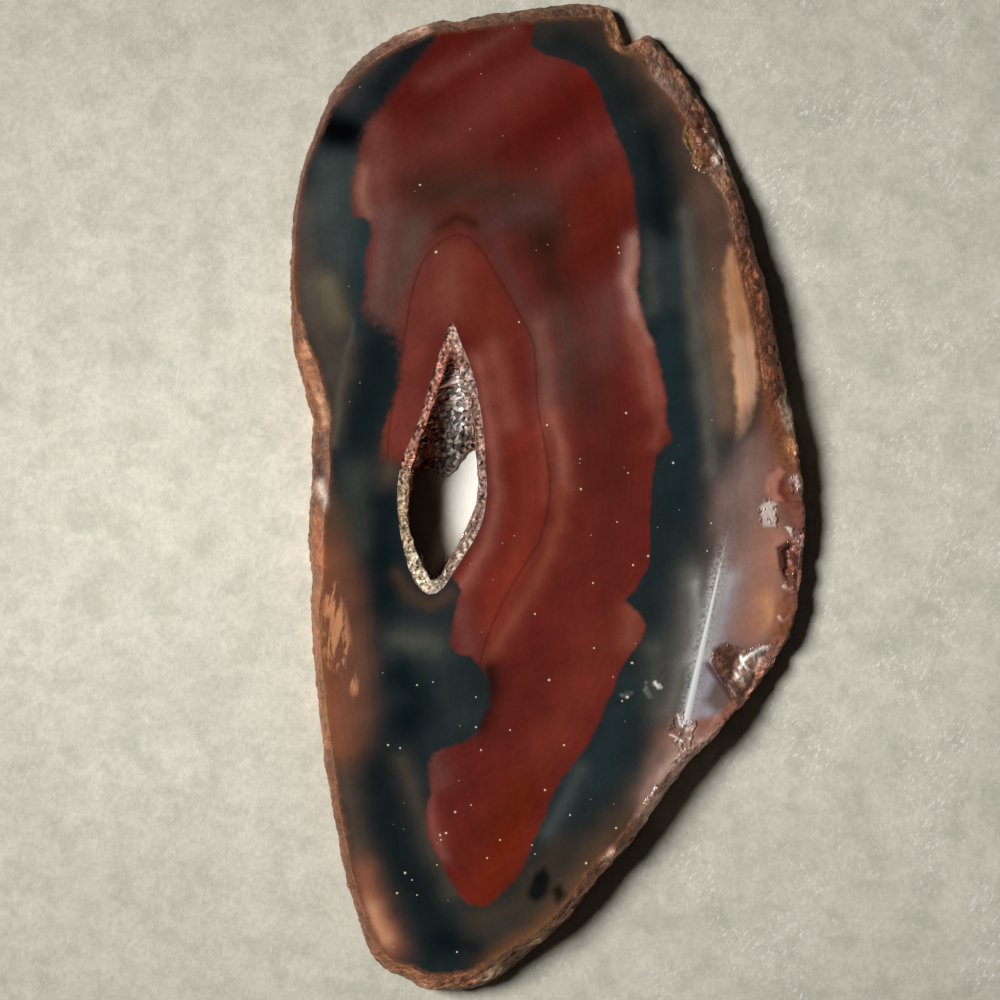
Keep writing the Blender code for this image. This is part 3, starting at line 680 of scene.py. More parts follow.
DARK_GROUND = "1e2628"
DARK_STROKES = [
    # Brown stone by the skin, down the right, along the foot and up the left.
    ("3d3028", 1, 24, 18, [(560, 14), (610, 40), (665, 88), (700, 160), (722, 230)]),
    ("4a3a31", 1, 15, 12, [(655, 78), (690, 120), (706, 178)]),
    ("5b4338", 1, 17, 12, [(704, 190), (716, 225), (722, 290), (728, 400)]),
    ("644e3e", 1, 13, 10, [(712, 290), (718, 360), (726, 420)]),
    ("6a4a38", 1, 7, 6, [(643, 52), (655, 70)]),
    ("8a6a5a", 0.9, 5, 5, [(656, 72), (664, 80)]),
    ("634635", 1, 7, 6, [(666, 84), (682, 106)]),
    ("3e2c20", 1, 7, 6, [(682, 112), (690, 122)]),
    ("545048", 1, 8, 8, [(684, 215), (690, 270), (697, 340), (706, 410), (711, 470)]),
    ("2b3537", 1, 7, 7, [(672, 232), (675, 300)]),
    ("3b3e3b", 1, 9, 9, [(652, 240), (653, 310)]),
    ("80563e", 0.9, 4, 5, [(724, 290), (728, 330), (731, 360)]),
    ("6a4433", 1, 13, 12, [(757, 250), (766, 330), (774, 410)]),
    ("4a3a2d", 1, 17, 14, [(648, 800), (600, 850), (560, 905)]),
    ("63452f", 1, 12, 12, [(610, 862), (575, 900), (530, 940), (490, 962)]),
    ("6a4a32", 1, 7, 8, [(500, 958), (545, 922)]),
    ("4a3e36", 1, 14, 12, [(340, 760), (350, 810), (358, 850)]),
    ("80503a", 1, 13, 11, [(362, 872), (374, 910), (390, 948)]),
    ("b98264", 1, 7, 8, [(372, 908), (378, 926), (386, 940)]),
    ("6a4434", 1, 22, 14, [(330, 540), (342, 600), (348, 660), (346, 740)]),
    ("7f4c36", 1, 9, 8, [(322, 560), (327, 640), (331, 700), (336, 750)]),
    ("56402f", 1, 10, 10, [(326, 500), (340, 520)]),
    ("4c423b", 1, 16, 14, [(306, 210), (306, 290), (325, 345), (335, 372)]),
    ("615645", 1, 13, 11, [(326, 285), (340, 318)]),
    ("5c4033", 1, 4, 4, [(299, 150), (295, 220), (295, 300)]),
    # Grey and teal stone on the left.
    ("3d4341", 1, 17, 14, [(330, 165), (328, 220), (340, 255)]),
    ("36403d", 1, 12, 12, [(352, 165), (350, 225)]),
    ("253335", 1, 8, 9, [(362, 238), (358, 330)]),
    ("15191b", 1, 14, 12, [(425, 36), (398, 62), (382, 88)]),
    ("302e2f", 1, 8, 9, [(386, 48), (362, 78), (352, 102)]),
    ("010203", 1, 16, 8, [(334, 131), (346, 134)]),
    ("6b4a3a", 1, 4, 4, [(404, 33), (366, 60), (336, 98)]),
    ("121c1e", 1, 20, 14, [(380, 350), (366, 400), (358, 450)]),
    ("363a36", 1, 13, 12, [(356, 475), (364, 540)]),
    ("101b1d", 1, 16, 12, [(386, 500), (384, 560), (388, 610), (398, 640)]),
    ("4b3d32", 1, 9, 9, [(392, 448), (390, 474)]),
    ("4a4238", 1, 7, 7, [(348, 345), (340, 395), (332, 440)]),
    ("54524a", 0.6, 2, 3, [(352, 322), (342, 380), (334, 445)]),
    ("454640", 1, 13, 12, [(400, 640), (435, 645)]),
    ("0d181c", 1, 15, 12, [(400, 672), (425, 700), (405, 722)]),
    ("27302f", 1, 16, 14, [(450, 690), (462, 720)]),
    ("43342a", 1, 6, 8, [(398, 575), (410, 595), (430, 605), (452, 594)]),
    ("151c1d", 1, 16, 12, [(380, 765), (390, 830), (412, 885), (446, 935)]),
    ("081418", 1, 13, 12, [(440, 940), (472, 945)]),
    ("423b33", 1, 8, 9, [(402, 762), (416, 800), (432, 850), (452, 892)]),
    ("3c3329", 1, 13, 12, [(556, 850), (522, 902), (478, 922)]),
    # Along the red stone and over to the ridge on the right.
    ("1c2120", 1, 15, 12, [(565, 38), (600, 62), (628, 105)]),
    ("111819", 1, 15, 12, [(650, 140), (660, 185), (662, 225)]),
    ("1c282b", 1, 16, 10, [(668, 330), (672, 390), (684, 440), (682, 500)]),
    # The grey strokes beside the ridge are a painted sheen round its highlight.
    ("66625a", 1, 13, 13, [(696, 575), (692, 610), (688, 655), (668, 710)]),
    ("8a8c86", 0.9, 4, 6, [(696, 585), (698, 610), (690, 660)]),
    ("484742", 1, 10, 10, [(655, 650), (656, 700)]),
    ("232d2f", 1, 16, 12, [(628, 690), (615, 735), (590, 775)]),
    ("5c493e", 1, 7, 8, [(672, 728), (660, 752), (648, 776)]),
    ("3d4341", 0.9, 7, 8, [(580, 770), (562, 806), (548, 832)]),
    # Milky stone on the ground facet, with a painted sheen in its pale greys and lilac.
    ("66564f", 1, 12, 13, [(724, 488), (722, 540)]),
    ("7c635c", 1, 29, 12, [(765, 462), (752, 505), (747, 560), (738, 620)]),
    ("7d5040", 1, 14, 12, [(776, 430), (784, 500)]),
    ("9c6c5b", 1, 20, 14, [(775, 540), (768, 590), (756, 625)]),
    ("b07c5a", 1, 8, 9, [(766, 600), (772, 622)]),
    ("a09798", 1, 9, 9, [(729, 580), (720, 620), (708, 660)]),
    ("7c7484", 1, 13, 8, [(712, 682), (704, 708)]),
    ("9a6a5c", 1, 12, 9, [(728, 712), (704, 730)]),
    ("b08a7e", 1, 13, 10, [(700, 742), (678, 772), (656, 798)]),
    ("8a6454", 0.9, 10, 10, [(690, 722), (668, 742)]),
]

# Marks with a crisp outline on the dark stone: colour, strength, softness and their outline.
DARK_MARKS = [
    ("0a0f0f", 0.95, 6, [(529, 886), (536, 873), (545, 867), (550, 878), (547, 893), (537, 903),
                         (528, 897)]),
    ("12110f", 0.9, 6, [(551, 890), (561, 884), (567, 895), (557, 905)]),
    ("7f5b3d", 1, 3, [(685, 124), (694, 119), (702, 124), (706, 136), (702, 148), (690, 149), (683, 140)]),
    ("8a6444", 1, 3, [(692, 152), (702, 146), (714, 156), (716, 166), (704, 172), (694, 166)]),
    ("4a2a1c", 1, 4, [(696, 112), (706, 116), (716, 140), (722, 158), (714, 158), (704, 134)]),
    # The lilac corner below the big break, and the pink stone under it.
    ("908890", 0.95, 8, [(712, 664), (728, 692), (736, 704), (718, 716), (692, 719), (697, 690)]),
    ("5f4c44", 0.9, 9, [(716, 678), (732, 698), (736, 708), (716, 713), (704, 702)]),
    ("86584c", 0.9, 8, [(736, 706), (733, 716), (708, 740), (694, 752), (692, 722), (716, 716)]),
    ("c09088", 0.8, 4, [(716, 716), (724, 715), (722, 723), (710, 728)]),
    ("8f7064", 1, 9, [(690, 722), (706, 744), (676, 792), (652, 820), (636, 814), (650, 780),
                      (670, 748)]),
    ("b39388", 0.9, 5, [(698, 748), (704, 750), (676, 786), (660, 806), (656, 798), (678, 764)]),
    ("a8897c", 0.9, 4, [(676, 752), (682, 758), (664, 782), (654, 786), (660, 768)]),
    # The broken shells along the edge of the facet, with painted shade on the big shell's wall at its
    # upper left and painted highlights on its pale arcs.
    ("644436", 1, 4, [(712, 648), (726, 643), (741, 650), (742, 664), (728, 682), (712, 668)]),
    ("8a6a5a", 1, 4, [(742, 650), (778, 645), (778, 662), (752, 700), (735, 708), (728, 684)]),
    ("c0aaa0", 0.9, 3, [(748, 656), (764, 647), (779, 648), (776, 662), (764, 668), (756, 662)]),
    ("a48a7e", 0.9, 3, [(740, 672), (750, 668), (764, 684), (754, 696), (746, 690)]),
    ("76564a", 0.9, 3, [(728, 684), (738, 680), (748, 702), (738, 706)]),
    ("4a2a20", 0.8, 3, [(702, 662), (708, 661), (728, 684), (737, 704), (732, 704), (718, 684)]),
    ("6a3428", 1, 4, [(772, 470), (800, 466), (803, 500), (786, 504), (771, 498)]),
    ("a8705f", 0.85, 4, [(768, 476), (780, 466), (790, 470), (779, 480), (777, 492), (784, 501),
                         (772, 502), (765, 490)]),
    ("cbb8ae", 0.85, 3, [(760, 507), (768, 500), (777, 504), (775, 516), (776, 526), (764, 527)]),
    ("efe6e0", 0.95, 2, [(786, 527), (800, 532), (805, 540), (805, 550), (798, 546), (792, 536)]),
    ("4e2c22", 1, 3, [(776, 548), (790, 540), (800, 556), (802, 600), (790, 592), (780, 570)]),
    ("a87868", 1, 2, [(782, 588), (788, 580), (798, 578), (800, 592), (790, 592)]),
    ("8c5a44", 1, 4, [(778, 600), (792, 598), (796, 618), (782, 640), (770, 632)]),
]
# Where the brown stone on the left is veined.
VEINED = [(320, 600), (327, 566), (335, 556), (341, 585), (348, 610), (353, 640), (362, 692),
          (352, 700), (338, 674), (323, 668), (317, 640)]
# Fine lines along the splinters and shell edges, most of them painted highlights where those edges catch
# the light and a few grey: colour, half width and line.
SPLINTER_HIGHLIGHTS = [
    ("d8c4ba", 1.0, [(670, 735), (676, 737), (684, 742)]),
    ("e0cec4", 1.0, [(678, 715), (680, 724), (686, 729)]),
    ("c9b0a6", 1.0, [(684, 750), (674, 766), (668, 782), (660, 800)]),
    ("f4ece6", 1.6, [(740, 668), (744, 660), (752, 654), (764, 648), (777, 648)]),
    ("ece0d8", 1.3, [(741, 656), (743, 664), (748, 670)]),
    ("d8c6bc", 1.1, [(735, 672), (742, 680), (750, 692), (757, 688)]),
    ("b99c8c", 1.0, [(728, 684), (736, 696), (738, 706)]),
    ("d8c6bc", 1.0, [(770, 657), (760, 666), (753, 673)]),
    ("e0d0c8", 1.1, [(784, 586), (790, 590), (798, 586)]),
    ("c8b4aa", 1.0, [(779, 618), (784, 622), (790, 616)]),
    ("6c6e6a", 1.2, [(646, 682), (646, 690), (650, 697)]),
    ("e8e2d8", 1.6, [(655, 683), (659, 687)]),
    ("747672", 1.2, [(621, 694), (627, 697), (632, 694)]),
    ("cdbcb2", 1.0, [(762, 514), (767, 509), (773, 517)]),
]

PEACH_GROUND = "c8946f"
PEACH_STROKES = [
    ("a87558", 1, 9, 9, [(727, 246), (735, 268)]),
    ("b87f58", 1, 9, 9, [(740, 280), (748, 330)]),
    ("9a6848", 0.8, 5, 5, [(742, 270), (744, 292)]),
    ("d8a98a", 1, 7, 7, [(741, 342), (745, 365), (749, 392)]),
    ("806252", 1, 11, 12, [(750, 418), (738, 446)]),
]

SKIN_GROUND = "70442d"
# The narrow cream and white lines on the left, along the notch and down the right are painted highlights
# where the skin's lumps and edges catch the light.
SKIN_STROKES = [
    ("7e4a2a", 1, 16, 12, [(296, 300), (300, 360), (312, 420), (314, 480)]),
    ("b4825f", 0.8, 3, 4, [(303, 327), (309, 350), (304, 372), (318, 386)]),
    ("b4825f", 0.6, 3, 4, [(320, 392), (326, 418)]),
    ("d89a70", 0.9, 2, 2, [(302, 318), (307, 336), (303, 356)]),
    ("a8663c", 0.9, 4, 4, [(300, 350), (310, 378), (318, 396)]),
    ("d89a70", 0.8, 2, 2, [(315, 388), (321, 404), (323, 424)]),
    ("3a1c10", 0.9, 4, 4, [(317, 462), (320, 480)]),
    ("d8c0b0", 1, 3, 3, [(321, 484), (326, 504)]),
    ("a8663f", 1, 8, 8, [(316, 522), (320, 568)]),
    ("9a6444", 1, 8, 8, [(316, 590), (320, 660), (324, 740)]),
    ("7f4d30", 1, 10, 10, [(328, 780), (340, 860), (360, 940), (380, 975)]),
    ("6a4638", 1, 9, 8, [(294, 240), (300, 180), (320, 110), (370, 50), (420, 30)]),
    ("c59a84", 0.9, 4, 5, [(404, 33), (424, 29)]),
    ("62422f", 1, 14, 10, [(440, 16), (540, 8), (600, 12), (640, 45), (690, 100)]),
    ("c08a5a", 1, 5, 4, [(610, 18), (616, 32), (624, 45)]),
    ("8a5a40", 0.9, 5, 5, [(628, 44), (640, 42)]),
    ("b08a7a", 0.9, 5, 6, [(657, 72), (666, 80)]),
    ("6a4a38", 0.9, 6, 6, [(684, 100), (699, 112)]),
    ("4e2c1e", 1, 8, 7, [(702, 112), (713, 132), (724, 156)]),
    ("d8c4b4", 1, 3, 3, [(716, 147), (721, 156)]),
    ("94705c", 0.95, 8, 7, [(712, 172), (726, 195), (736, 228)]),
    ("5a3222", 1, 14, 10, [(740, 200), (770, 300), (790, 400)]),
    ("6e3c26", 0.9, 6, 8, [(754, 270), (770, 330), (782, 400), (796, 440)]),
    ("c48a5c", 1, 4, 4, [(791, 442), (796, 458)]),
    ("e8cdb4", 1, 4, 4, [(787, 399), (793, 425)]),
    ("f4ece6", 1, 4, 3, [(796, 480), (798, 489)]),
    ("7d4c40", 1, 12, 10, [(804, 470), (806, 540), (800, 600)]),
    ("8a5a48", 1, 12, 10, [(780, 650), (745, 700), (715, 735)]),
    ("a9867a", 1, 15, 10, [(704, 745), (672, 784), (650, 812)]),
    ("7e5440", 1, 10, 10, [(640, 832), (600, 875), (560, 928)]),
    ("c49a84", 0.9, 3, 4, [(612, 850), (606, 862)]),
    ("7c4f33", 1, 16, 10, [(545, 940), (500, 972), (440, 986), (390, 972)]),
    ("dab898", 0.9, 3, 4, [(484, 980), (496, 970)]),
    ("dab898", 0.9, 3, 4, [(532, 948), (540, 940)]),
]
# The skin's marks follow their lines down to this depth, and wander off them below it.
SKIN_PLAIN_DEPTH = 0.0015
# Stone is painted as if it were lit by at least and at most this much.
LEAST_LIGHT = 0.36
MOST_LIGHT = 1.2
# How steeply a stroke fades across its line: the first number times its half width over its
# softness, but at least the second.
STEEPNESS = 1.5
LEAST_STEEPNESS = 1.6
# How far from each edge or line its distance is kept, in units.
RED_REACH = 4
PEACH_REACH = 20
ARCH_REACH = 60
EDGE_REACH = (-30, 60)
RIDGE_REACH = 40
VEIN_FADE = 8
FACE_EDGE_STATIONS = 260
LINE_WANDER = 3
LINE_WANDER_SIZE = 24
DEPTH_WANDER = 0.9
EDGE_WANDER = 1
EDGE_WANDER_SIZE = 9


def pigment(code):
    """The linear colour that a six-figure colour code stands for."""
    parts_of_it = np.array([int(code[k:k + 2], 16) / 255 for k in (0, 2, 4)])
    return np.where(parts_of_it <= 0.04045, parts_of_it / 12.92, ((parts_of_it + 0.055) / 1.055) ** 2.4)


def wandered(places, size, reach, seed, depth=0.0):
    """The places moved about by a slow, smooth wander, which grows with their depth."""
    moved = places.copy()
    for i, ((x, y), down) in enumerate(zip(places / size, np.broadcast_to(depth, len(places)))):
        far = reach + DEPTH_WANDER * down
        z = seed + down / size
        moved[i, 0] += far * noise.noise(Vector((x, y, z)))
        moved[i, 1] += far * noise.noise(Vector((y, x, z + 9)))
    return moved


def painted(places, ground_colour, strokes):
    """The colour at each place: a ground colour with the strokes laid over it in turn."""
    layer = np.tile(pigment(ground_colour), (len(places), 1))
    for code, strength, half_width, softness, line in strokes:
        away, _ = from_line(places, line)
        steepness = max(LEAST_STEEPNESS, STEEPNESS * half_width / softness)
        cover = strength * 0.5 ** ((away / half_width) ** steepness)
        layer += (pigment(code) - layer) * cover[:, None]
    return layer


def marked(layer, places):
    """The colours with the crisp marks and the splinters' painted highlights laid over them."""
    for code, strength, softness, outline in DARK_MARKS:
        cover = strength * np.clip(0.5 + within(places, outline) / softness, 0, 1)
        layer += (pigment(code) - layer) * cover[:, None]
    for code, half_width, line in SPLINTER_HIGHLIGHTS:
        away, _ = from_line(places, line)
        cover = np.clip(1.5 - away / half_width, 0, 1)
        layer += (pigment(code) - layer) * cover[:, None]
    return layer


def mark_corners(mesh, parts, broken):
    """Keep the edges between the slab's surfaces crisp, but for where they are broken."""
    slab = bmesh.new()
    slab.from_mesh(mesh)
    for edge in slab.edges:
        beside = {parts[face.index] for face in edge.link_faces}
        edge.smooth = len(beside) == 1 or any(broken[vert.index] for vert in edge.verts)
    slab.to_mesh(mesh)
    slab.free()


def store(mesh, name, values, domain="POINT"):
    """Keep a number, or a colour, for each point or each face of the mesh."""
    if values.ndim == 1:
        mesh.attributes.new(name, "FLOAT", domain).data.foreach_set("value", values.astype("f"))
    else:
        colours = np.column_stack([values, np.ones(len(values))]).astype("f")
        mesh.attributes.new(name, "FLOAT_COLOR", domain).data.foreach_set("color", colours.ravel())


def colour_slab(mesh, points, broken):
    """Lay the slab's colours and edges on its points."""
    places = points[:, :2] * [1, -1] / UNIT + MIDDLE
    soft = wandered(places, LINE_WANDER_SIZE, LINE_WANDER, 1)
    crisp = wandered(places, EDGE_WANDER_SIZE, EDGE_WANDER, 2)
    dark = marked(painted(soft, DARK_GROUND, DARK_STROKES), crisp)
    store(mesh, "red_stone", painted(soft, RED_GROUND, RED_STROKES))
    store(mesh, "dark_stone", dark)
    depth = np.maximum(THICKNESS - SKIN_PLAIN_DEPTH - points[:, 2], 0) / UNIT
    down_skin = wandered(places, LINE_WANDER_SIZE, LINE_WANDER, 1, depth)
    store(mesh, "skin", painted(down_skin, SKIN_GROUND, SKIN_STROKES))
    store(mesh, "red", np.clip(within(crisp, RED_EDGE), -RED_REACH, RED_REACH))
    store(mesh, "veined", np.clip(within(crisp, VEINED) / VEIN_FADE, 0, 1))
    store(mesh, "peach", np.clip(within(crisp, PEACH_EDGE), -PEACH_REACH, PEACH_REACH))
    store(mesh, "peach_stone", painted(soft, PEACH_GROUND, PEACH_STROKES))
    traced = closed_curve([(x, y, width) for x, y, width in OUTLINE], FACE_EDGE_STATIONS)
    face = traced[:, :2] - inward(traced) * traced[:, 2:3]
    edge = within(places, face)
    store(mesh, "edge", np.clip(edge, *EDGE_REACH))
    rim = closed_curve([station[0] for station in HOLLOW], HOLLOW_STATIONS)
    to_rim, _ = from_line(places, np.vstack([rim, rim[:1]]))
    to_arch = within(places, ARCH)
    to_red = within(places, [place[:2] for place in RED_EDGE])
    store(mesh, "arch", np.clip(to_arch, -ARCH_REACH, ARCH_REACH))
    near = np.abs(to_arch)
    band = np.where(to_arch > 0, to_rim / (to_rim + near + 1),
                    np.where(to_red > 0, 1 + near / (near + np.abs(to_red) + 1),
                             2 + np.abs(to_red) / (np.abs(to_red) + np.maximum(edge, 0) + 1)))
    store(mesh, "band", band)
    ridge, _ = from_line(places, [RIDGE_TOP, RIDGE_BOTTOM])
    store(mesh, "ridge", np.clip(ridge, 0, RIDGE_REACH))
    store(mesh, "down_ridge", (places[:, 1] - RIDGE_TOP[1]) / (RIDGE_BOTTOM[1] - RIDGE_TOP[1]))
    store(mesh, "broken", broken.astype(float))


# Three finishes of the stone: polished, rough natural skin and sawn. Sizes are in metres, and
# streaks have a width, a length and a turn in degrees from upwards.
QUARTZ_IOR = 1.54
RED_FRAY_SIZE = 0.0007
BAND_DRIFT_SIZE = 0.012
UPWARD_STREAKS = (0.0011, 0.012, 8)
SLANTING_STREAKS = (0.0032, 0.02, -56)
CLOUD_SIZE = 0.005
SPOT_SIZE = 0.0004
VEIN_STREAKS = (0.0012, 0.0055, -6)
VEIN_COLOUR = "cc8c64"
ARCH_LINE_COLOUR = "2a0c08"
PEACH_FRAY_SIZE = 0.002
RIM_FRAY_SIZE = 0.0011
BREAK_GRAIN_SIZE = 0.0005
BREAK_RIPPLE_SIZE = 0.0007
BREAK_RIPPLE_DEPTH = 0.00025
POLISHED_ROUGHNESS = 0.1
BROKEN_ROUGHNESS = 0.24
POLISH_PATCH_SIZE = 0.003
# The colour of the ridge's painted highlight, and the grain size of its painted halo.
RIDGE_HIGHLIGHT_COLOUR = "e4e4e0"
HALO_GRAIN_SIZE = 0.0003
DUST_SIZE = 0.0011
DUST_COLOUR = "d8c8b0"
GRAIN_COLOUR = "e0cfae"
SKIN_CLOUD_SIZE = 0.0022
SKIN_FLOW_SIZE = 0.0009
SKIN_FLOW_COLOUR = "b98766"
SKIN_PIT_SIZE = 0.0013
SKIN_PIT_COLOUR = "2a140c"
SKIN_ROUGH_SIZE = 0.0006
SKIN_ROUGH_DEPTH = 0.0003
SAW_MARK_SIZE = 0.0005
SAW_MARK_STRETCH = 0.05
SAW_MARK_DEPTH = 0.00006


class Finish:
    """A material put together node by node."""

    def __init__(self, name):
        self.material = bpy.data.materials.new(name)
        self.material.use_nodes = True
        self.tree = self.material.node_tree
        self.surface = self.tree.nodes["Principled BSDF"]
        self.places = self.node("ShaderNodeTexCoord").outputs["Object"]

    def node(self, kind, **settings):
        node = self.tree.nodes.new(kind)
        for name, value in settings.items():
            setattr(node, name, value)
        return node

    def put(self, value, socket):
        """Join the value to a socket, or set the socket to it."""
        if isinstance(value, bpy.types.NodeSocket):
            self.tree.links.new(value, socket)
        elif value is not None:
            socket.default_value = value

    def kept(self, name, colour=False):
        """What the mesh keeps under a name."""
        node = self.node("ShaderNodeAttribute", attribute_name=name)
        return node.outputs["Color" if colour else "Fac"]

    def math(self, operation, *values):
        node = self.node("ShaderNodeMath", operation=operation)
        for value, socket in zip(values, node.inputs):
            self.put(value, socket)
        return node.outputs[0]

    def eased(self, value, low, high, to_low=0.0, to_high=1.0):
        """The value carried smoothly from one span to another, and held at its ends."""
        node = self.node("ShaderNodeMapRange", interpolation_type="SMOOTHSTEP")
        for setting, socket in zip((value, low, high, to_low, to_high), node.inputs):
            self.put(setting, socket)
        return node.outputs[0]

    def mix(self, share, first, second):
        node = self.node("ShaderNodeMix", data_type="RGBA")
        self.put(share, node.inputs[0])
        self.put(first, node.inputs[6])
        self.put(second, node.inputs[7])
        return node.outputs[2]

    def noise(self, size, detail=3.0, roughness=0.5, distortion=0.0, places=None):
        """Smooth noise between 0 and 1 with features of about the size, in metres."""
        node = self.node("ShaderNodeTexNoise")
        self.put(places or self.places, node.inputs["Vector"])
        for name, value in (("Scale", 1 / size), ("Detail", detail), ("Roughness", roughness),
                            ("Distortion", distortion)):
            node.inputs[name].default_value = value
        return node.outputs["Fac"]

    def cells(self, size, output="Distance"):
        node = self.node("ShaderNodeTexVoronoi")
        self.put(self.places, node.inputs["Vector"])
        node.inputs["Scale"].default_value = 1 / size
        return node.outputs[output]

    def scaled(self, x, y, z):
        """The places with each of their three directions scaled."""
        node = self.node("ShaderNodeMapping", vector_type="POINT")
        self.put(self.places, node.inputs["Vector"])
        node.inputs["Scale"].default_value = (x, y, z)
        return node.outputs["Vector"]

    def stretched(self, width, length, turn):
        """The places in steps of a width and a length, which is turned from upwards in plan."""
        node = self.node("ShaderNodeMapping", vector_type="TEXTURE")
        self.put(self.places, node.inputs["Vector"])
        node.inputs["Rotation"].default_value = (0, 0, math.radians(turn))
        node.inputs["Scale"].default_value = (width, length, length)
        return node.outputs["Vector"]

    def varied(self, colour, share, amount):
        """The colour made darker and lighter by the amount as a share goes from 0 to 1."""
        factor = self.eased(share, 0.25, 0.75, 1 - amount, 1 + amount)
        node = self.node("ShaderNodeVectorMath", operation="SCALE")
        self.put(colour, node.inputs[0])
        self.put(factor, node.inputs["Scale"])
        return node.outputs[0]

    def lit(self, colour):
        """The colour made lighter where the stone slopes away from the light and darker where it slopes
        towards it: painted light that cancels its shading.
        """
        node = self.node("ShaderNodeVectorMath", operation="SCALE")
        self.put(colour, node.inputs[0])
        self.put(self.math("DIVIDE", 1.0, self.kept("light")), node.inputs["Scale"])
        return node.outputs[0]

    def flat(self, code):
        return (*pigment(code), 1)

    def bump(self, height, distance):
        node = self.node("ShaderNodeBump")
        node.inputs["Distance"].default_value = distance
        self.put(height, node.inputs["Height"])
        return node.outputs[0]

    def out_from(self, place, reach):
        """How far places in plan are from one of them, where its reach across and along counts as 1."""
        away = self.node("ShaderNodeMapping", vector_type="TEXTURE")
        self.put(self.places, away.inputs["Vector"])
        away.inputs["Location"].default_value = (*placed(*place), 0)
        away.inputs["Scale"].default_value = (reach[0] * UNIT, reach[1] * UNIT, 1)
        length = self.node("ShaderNodeVectorMath", operation="LENGTH")
        self.put(away.outputs["Vector"], length.inputs[0])
        return length.outputs["Value"]

    def done(self, colour, roughness, normal):
        self.put(colour, self.surface.inputs["Base Color"])
        self.put(roughness, self.surface.inputs["Roughness"])
        self.put(normal, self.surface.inputs["Normal"])
        self.surface.inputs["IOR"].default_value = QUARTZ_IOR
        return self.material


def stone_colour(finish):
    """The banded stone: red within dark, with fine bands, clouds and streaks."""
    fray = finish.math("MULTIPLY_ADD", finish.noise(RED_FRAY_SIZE, 4, 0.6), 1.6, -0.8)
    is_red = finish.eased(finish.math("ADD", finish.kept("red"), fray), -0.7, 0.7)
    colour = finish.mix(is_red, finish.kept("dark_stone", True), finish.kept("red_stone", True))
    band = finish.node("ShaderNodeCombineXYZ")
    finish.put(finish.math("MULTIPLY_ADD", finish.noise(BAND_DRIFT_SIZE, 2), 0.05, finish.kept("band")),
               band.inputs[0])
    lines = finish.noise(1 / 30, 5, 0.62, places=band.outputs[0])
    colour = finish.varied(colour, lines, 0.06)
    upwards = finish.noise(1, 4, 0.6, places=finish.stretched(*UPWARD_STREAKS))
    colour = finish.varied(colour, upwards, 0.06)
    across = finish.noise(1, 3, 0.55, places=finish.stretched(*SLANTING_STREAKS))
    colour = finish.varied(colour, across, 0.10)
    colour = finish.varied(colour, finish.noise(CLOUD_SIZE, 4, 0.6), 0.13)
    colour = finish.varied(colour, finish.noise(SPOT_SIZE, 2, 0.6), 0.05)
    veins = finish.noise(1, 5, 0.7, 0.4, places=finish.stretched(*VEIN_STREAKS))
    veins = finish.math("MULTIPLY", finish.eased(veins, 0.45, 0.55, 0.0, 0.85), finish.kept("veined"))
    colour = finish.mix(veins, colour, finish.flat(VEIN_COLOUR))
    arch = finish.math("ABSOLUTE", finish.kept("arch"))
    line = finish.math("MULTIPLY", finish.eased(arch, 0.3, 2.2, 0.34, 0.0), is_red)
    colour = finish.mix(line, colour, finish.flat(ARCH_LINE_COLOUR))
    peach = finish.math("MULTIPLY_ADD", finish.noise(PEACH_FRAY_SIZE, 5, 0.7), 14, finish.kept("peach"))
    peach_stone = finish.varied(finish.kept("peach_stone", True), upwards, 0.3)
    colour = finish.mix(finish.eased(peach, 5.0, 13.0, 0.0, 0.9), colour, peach_stone)
    return colour


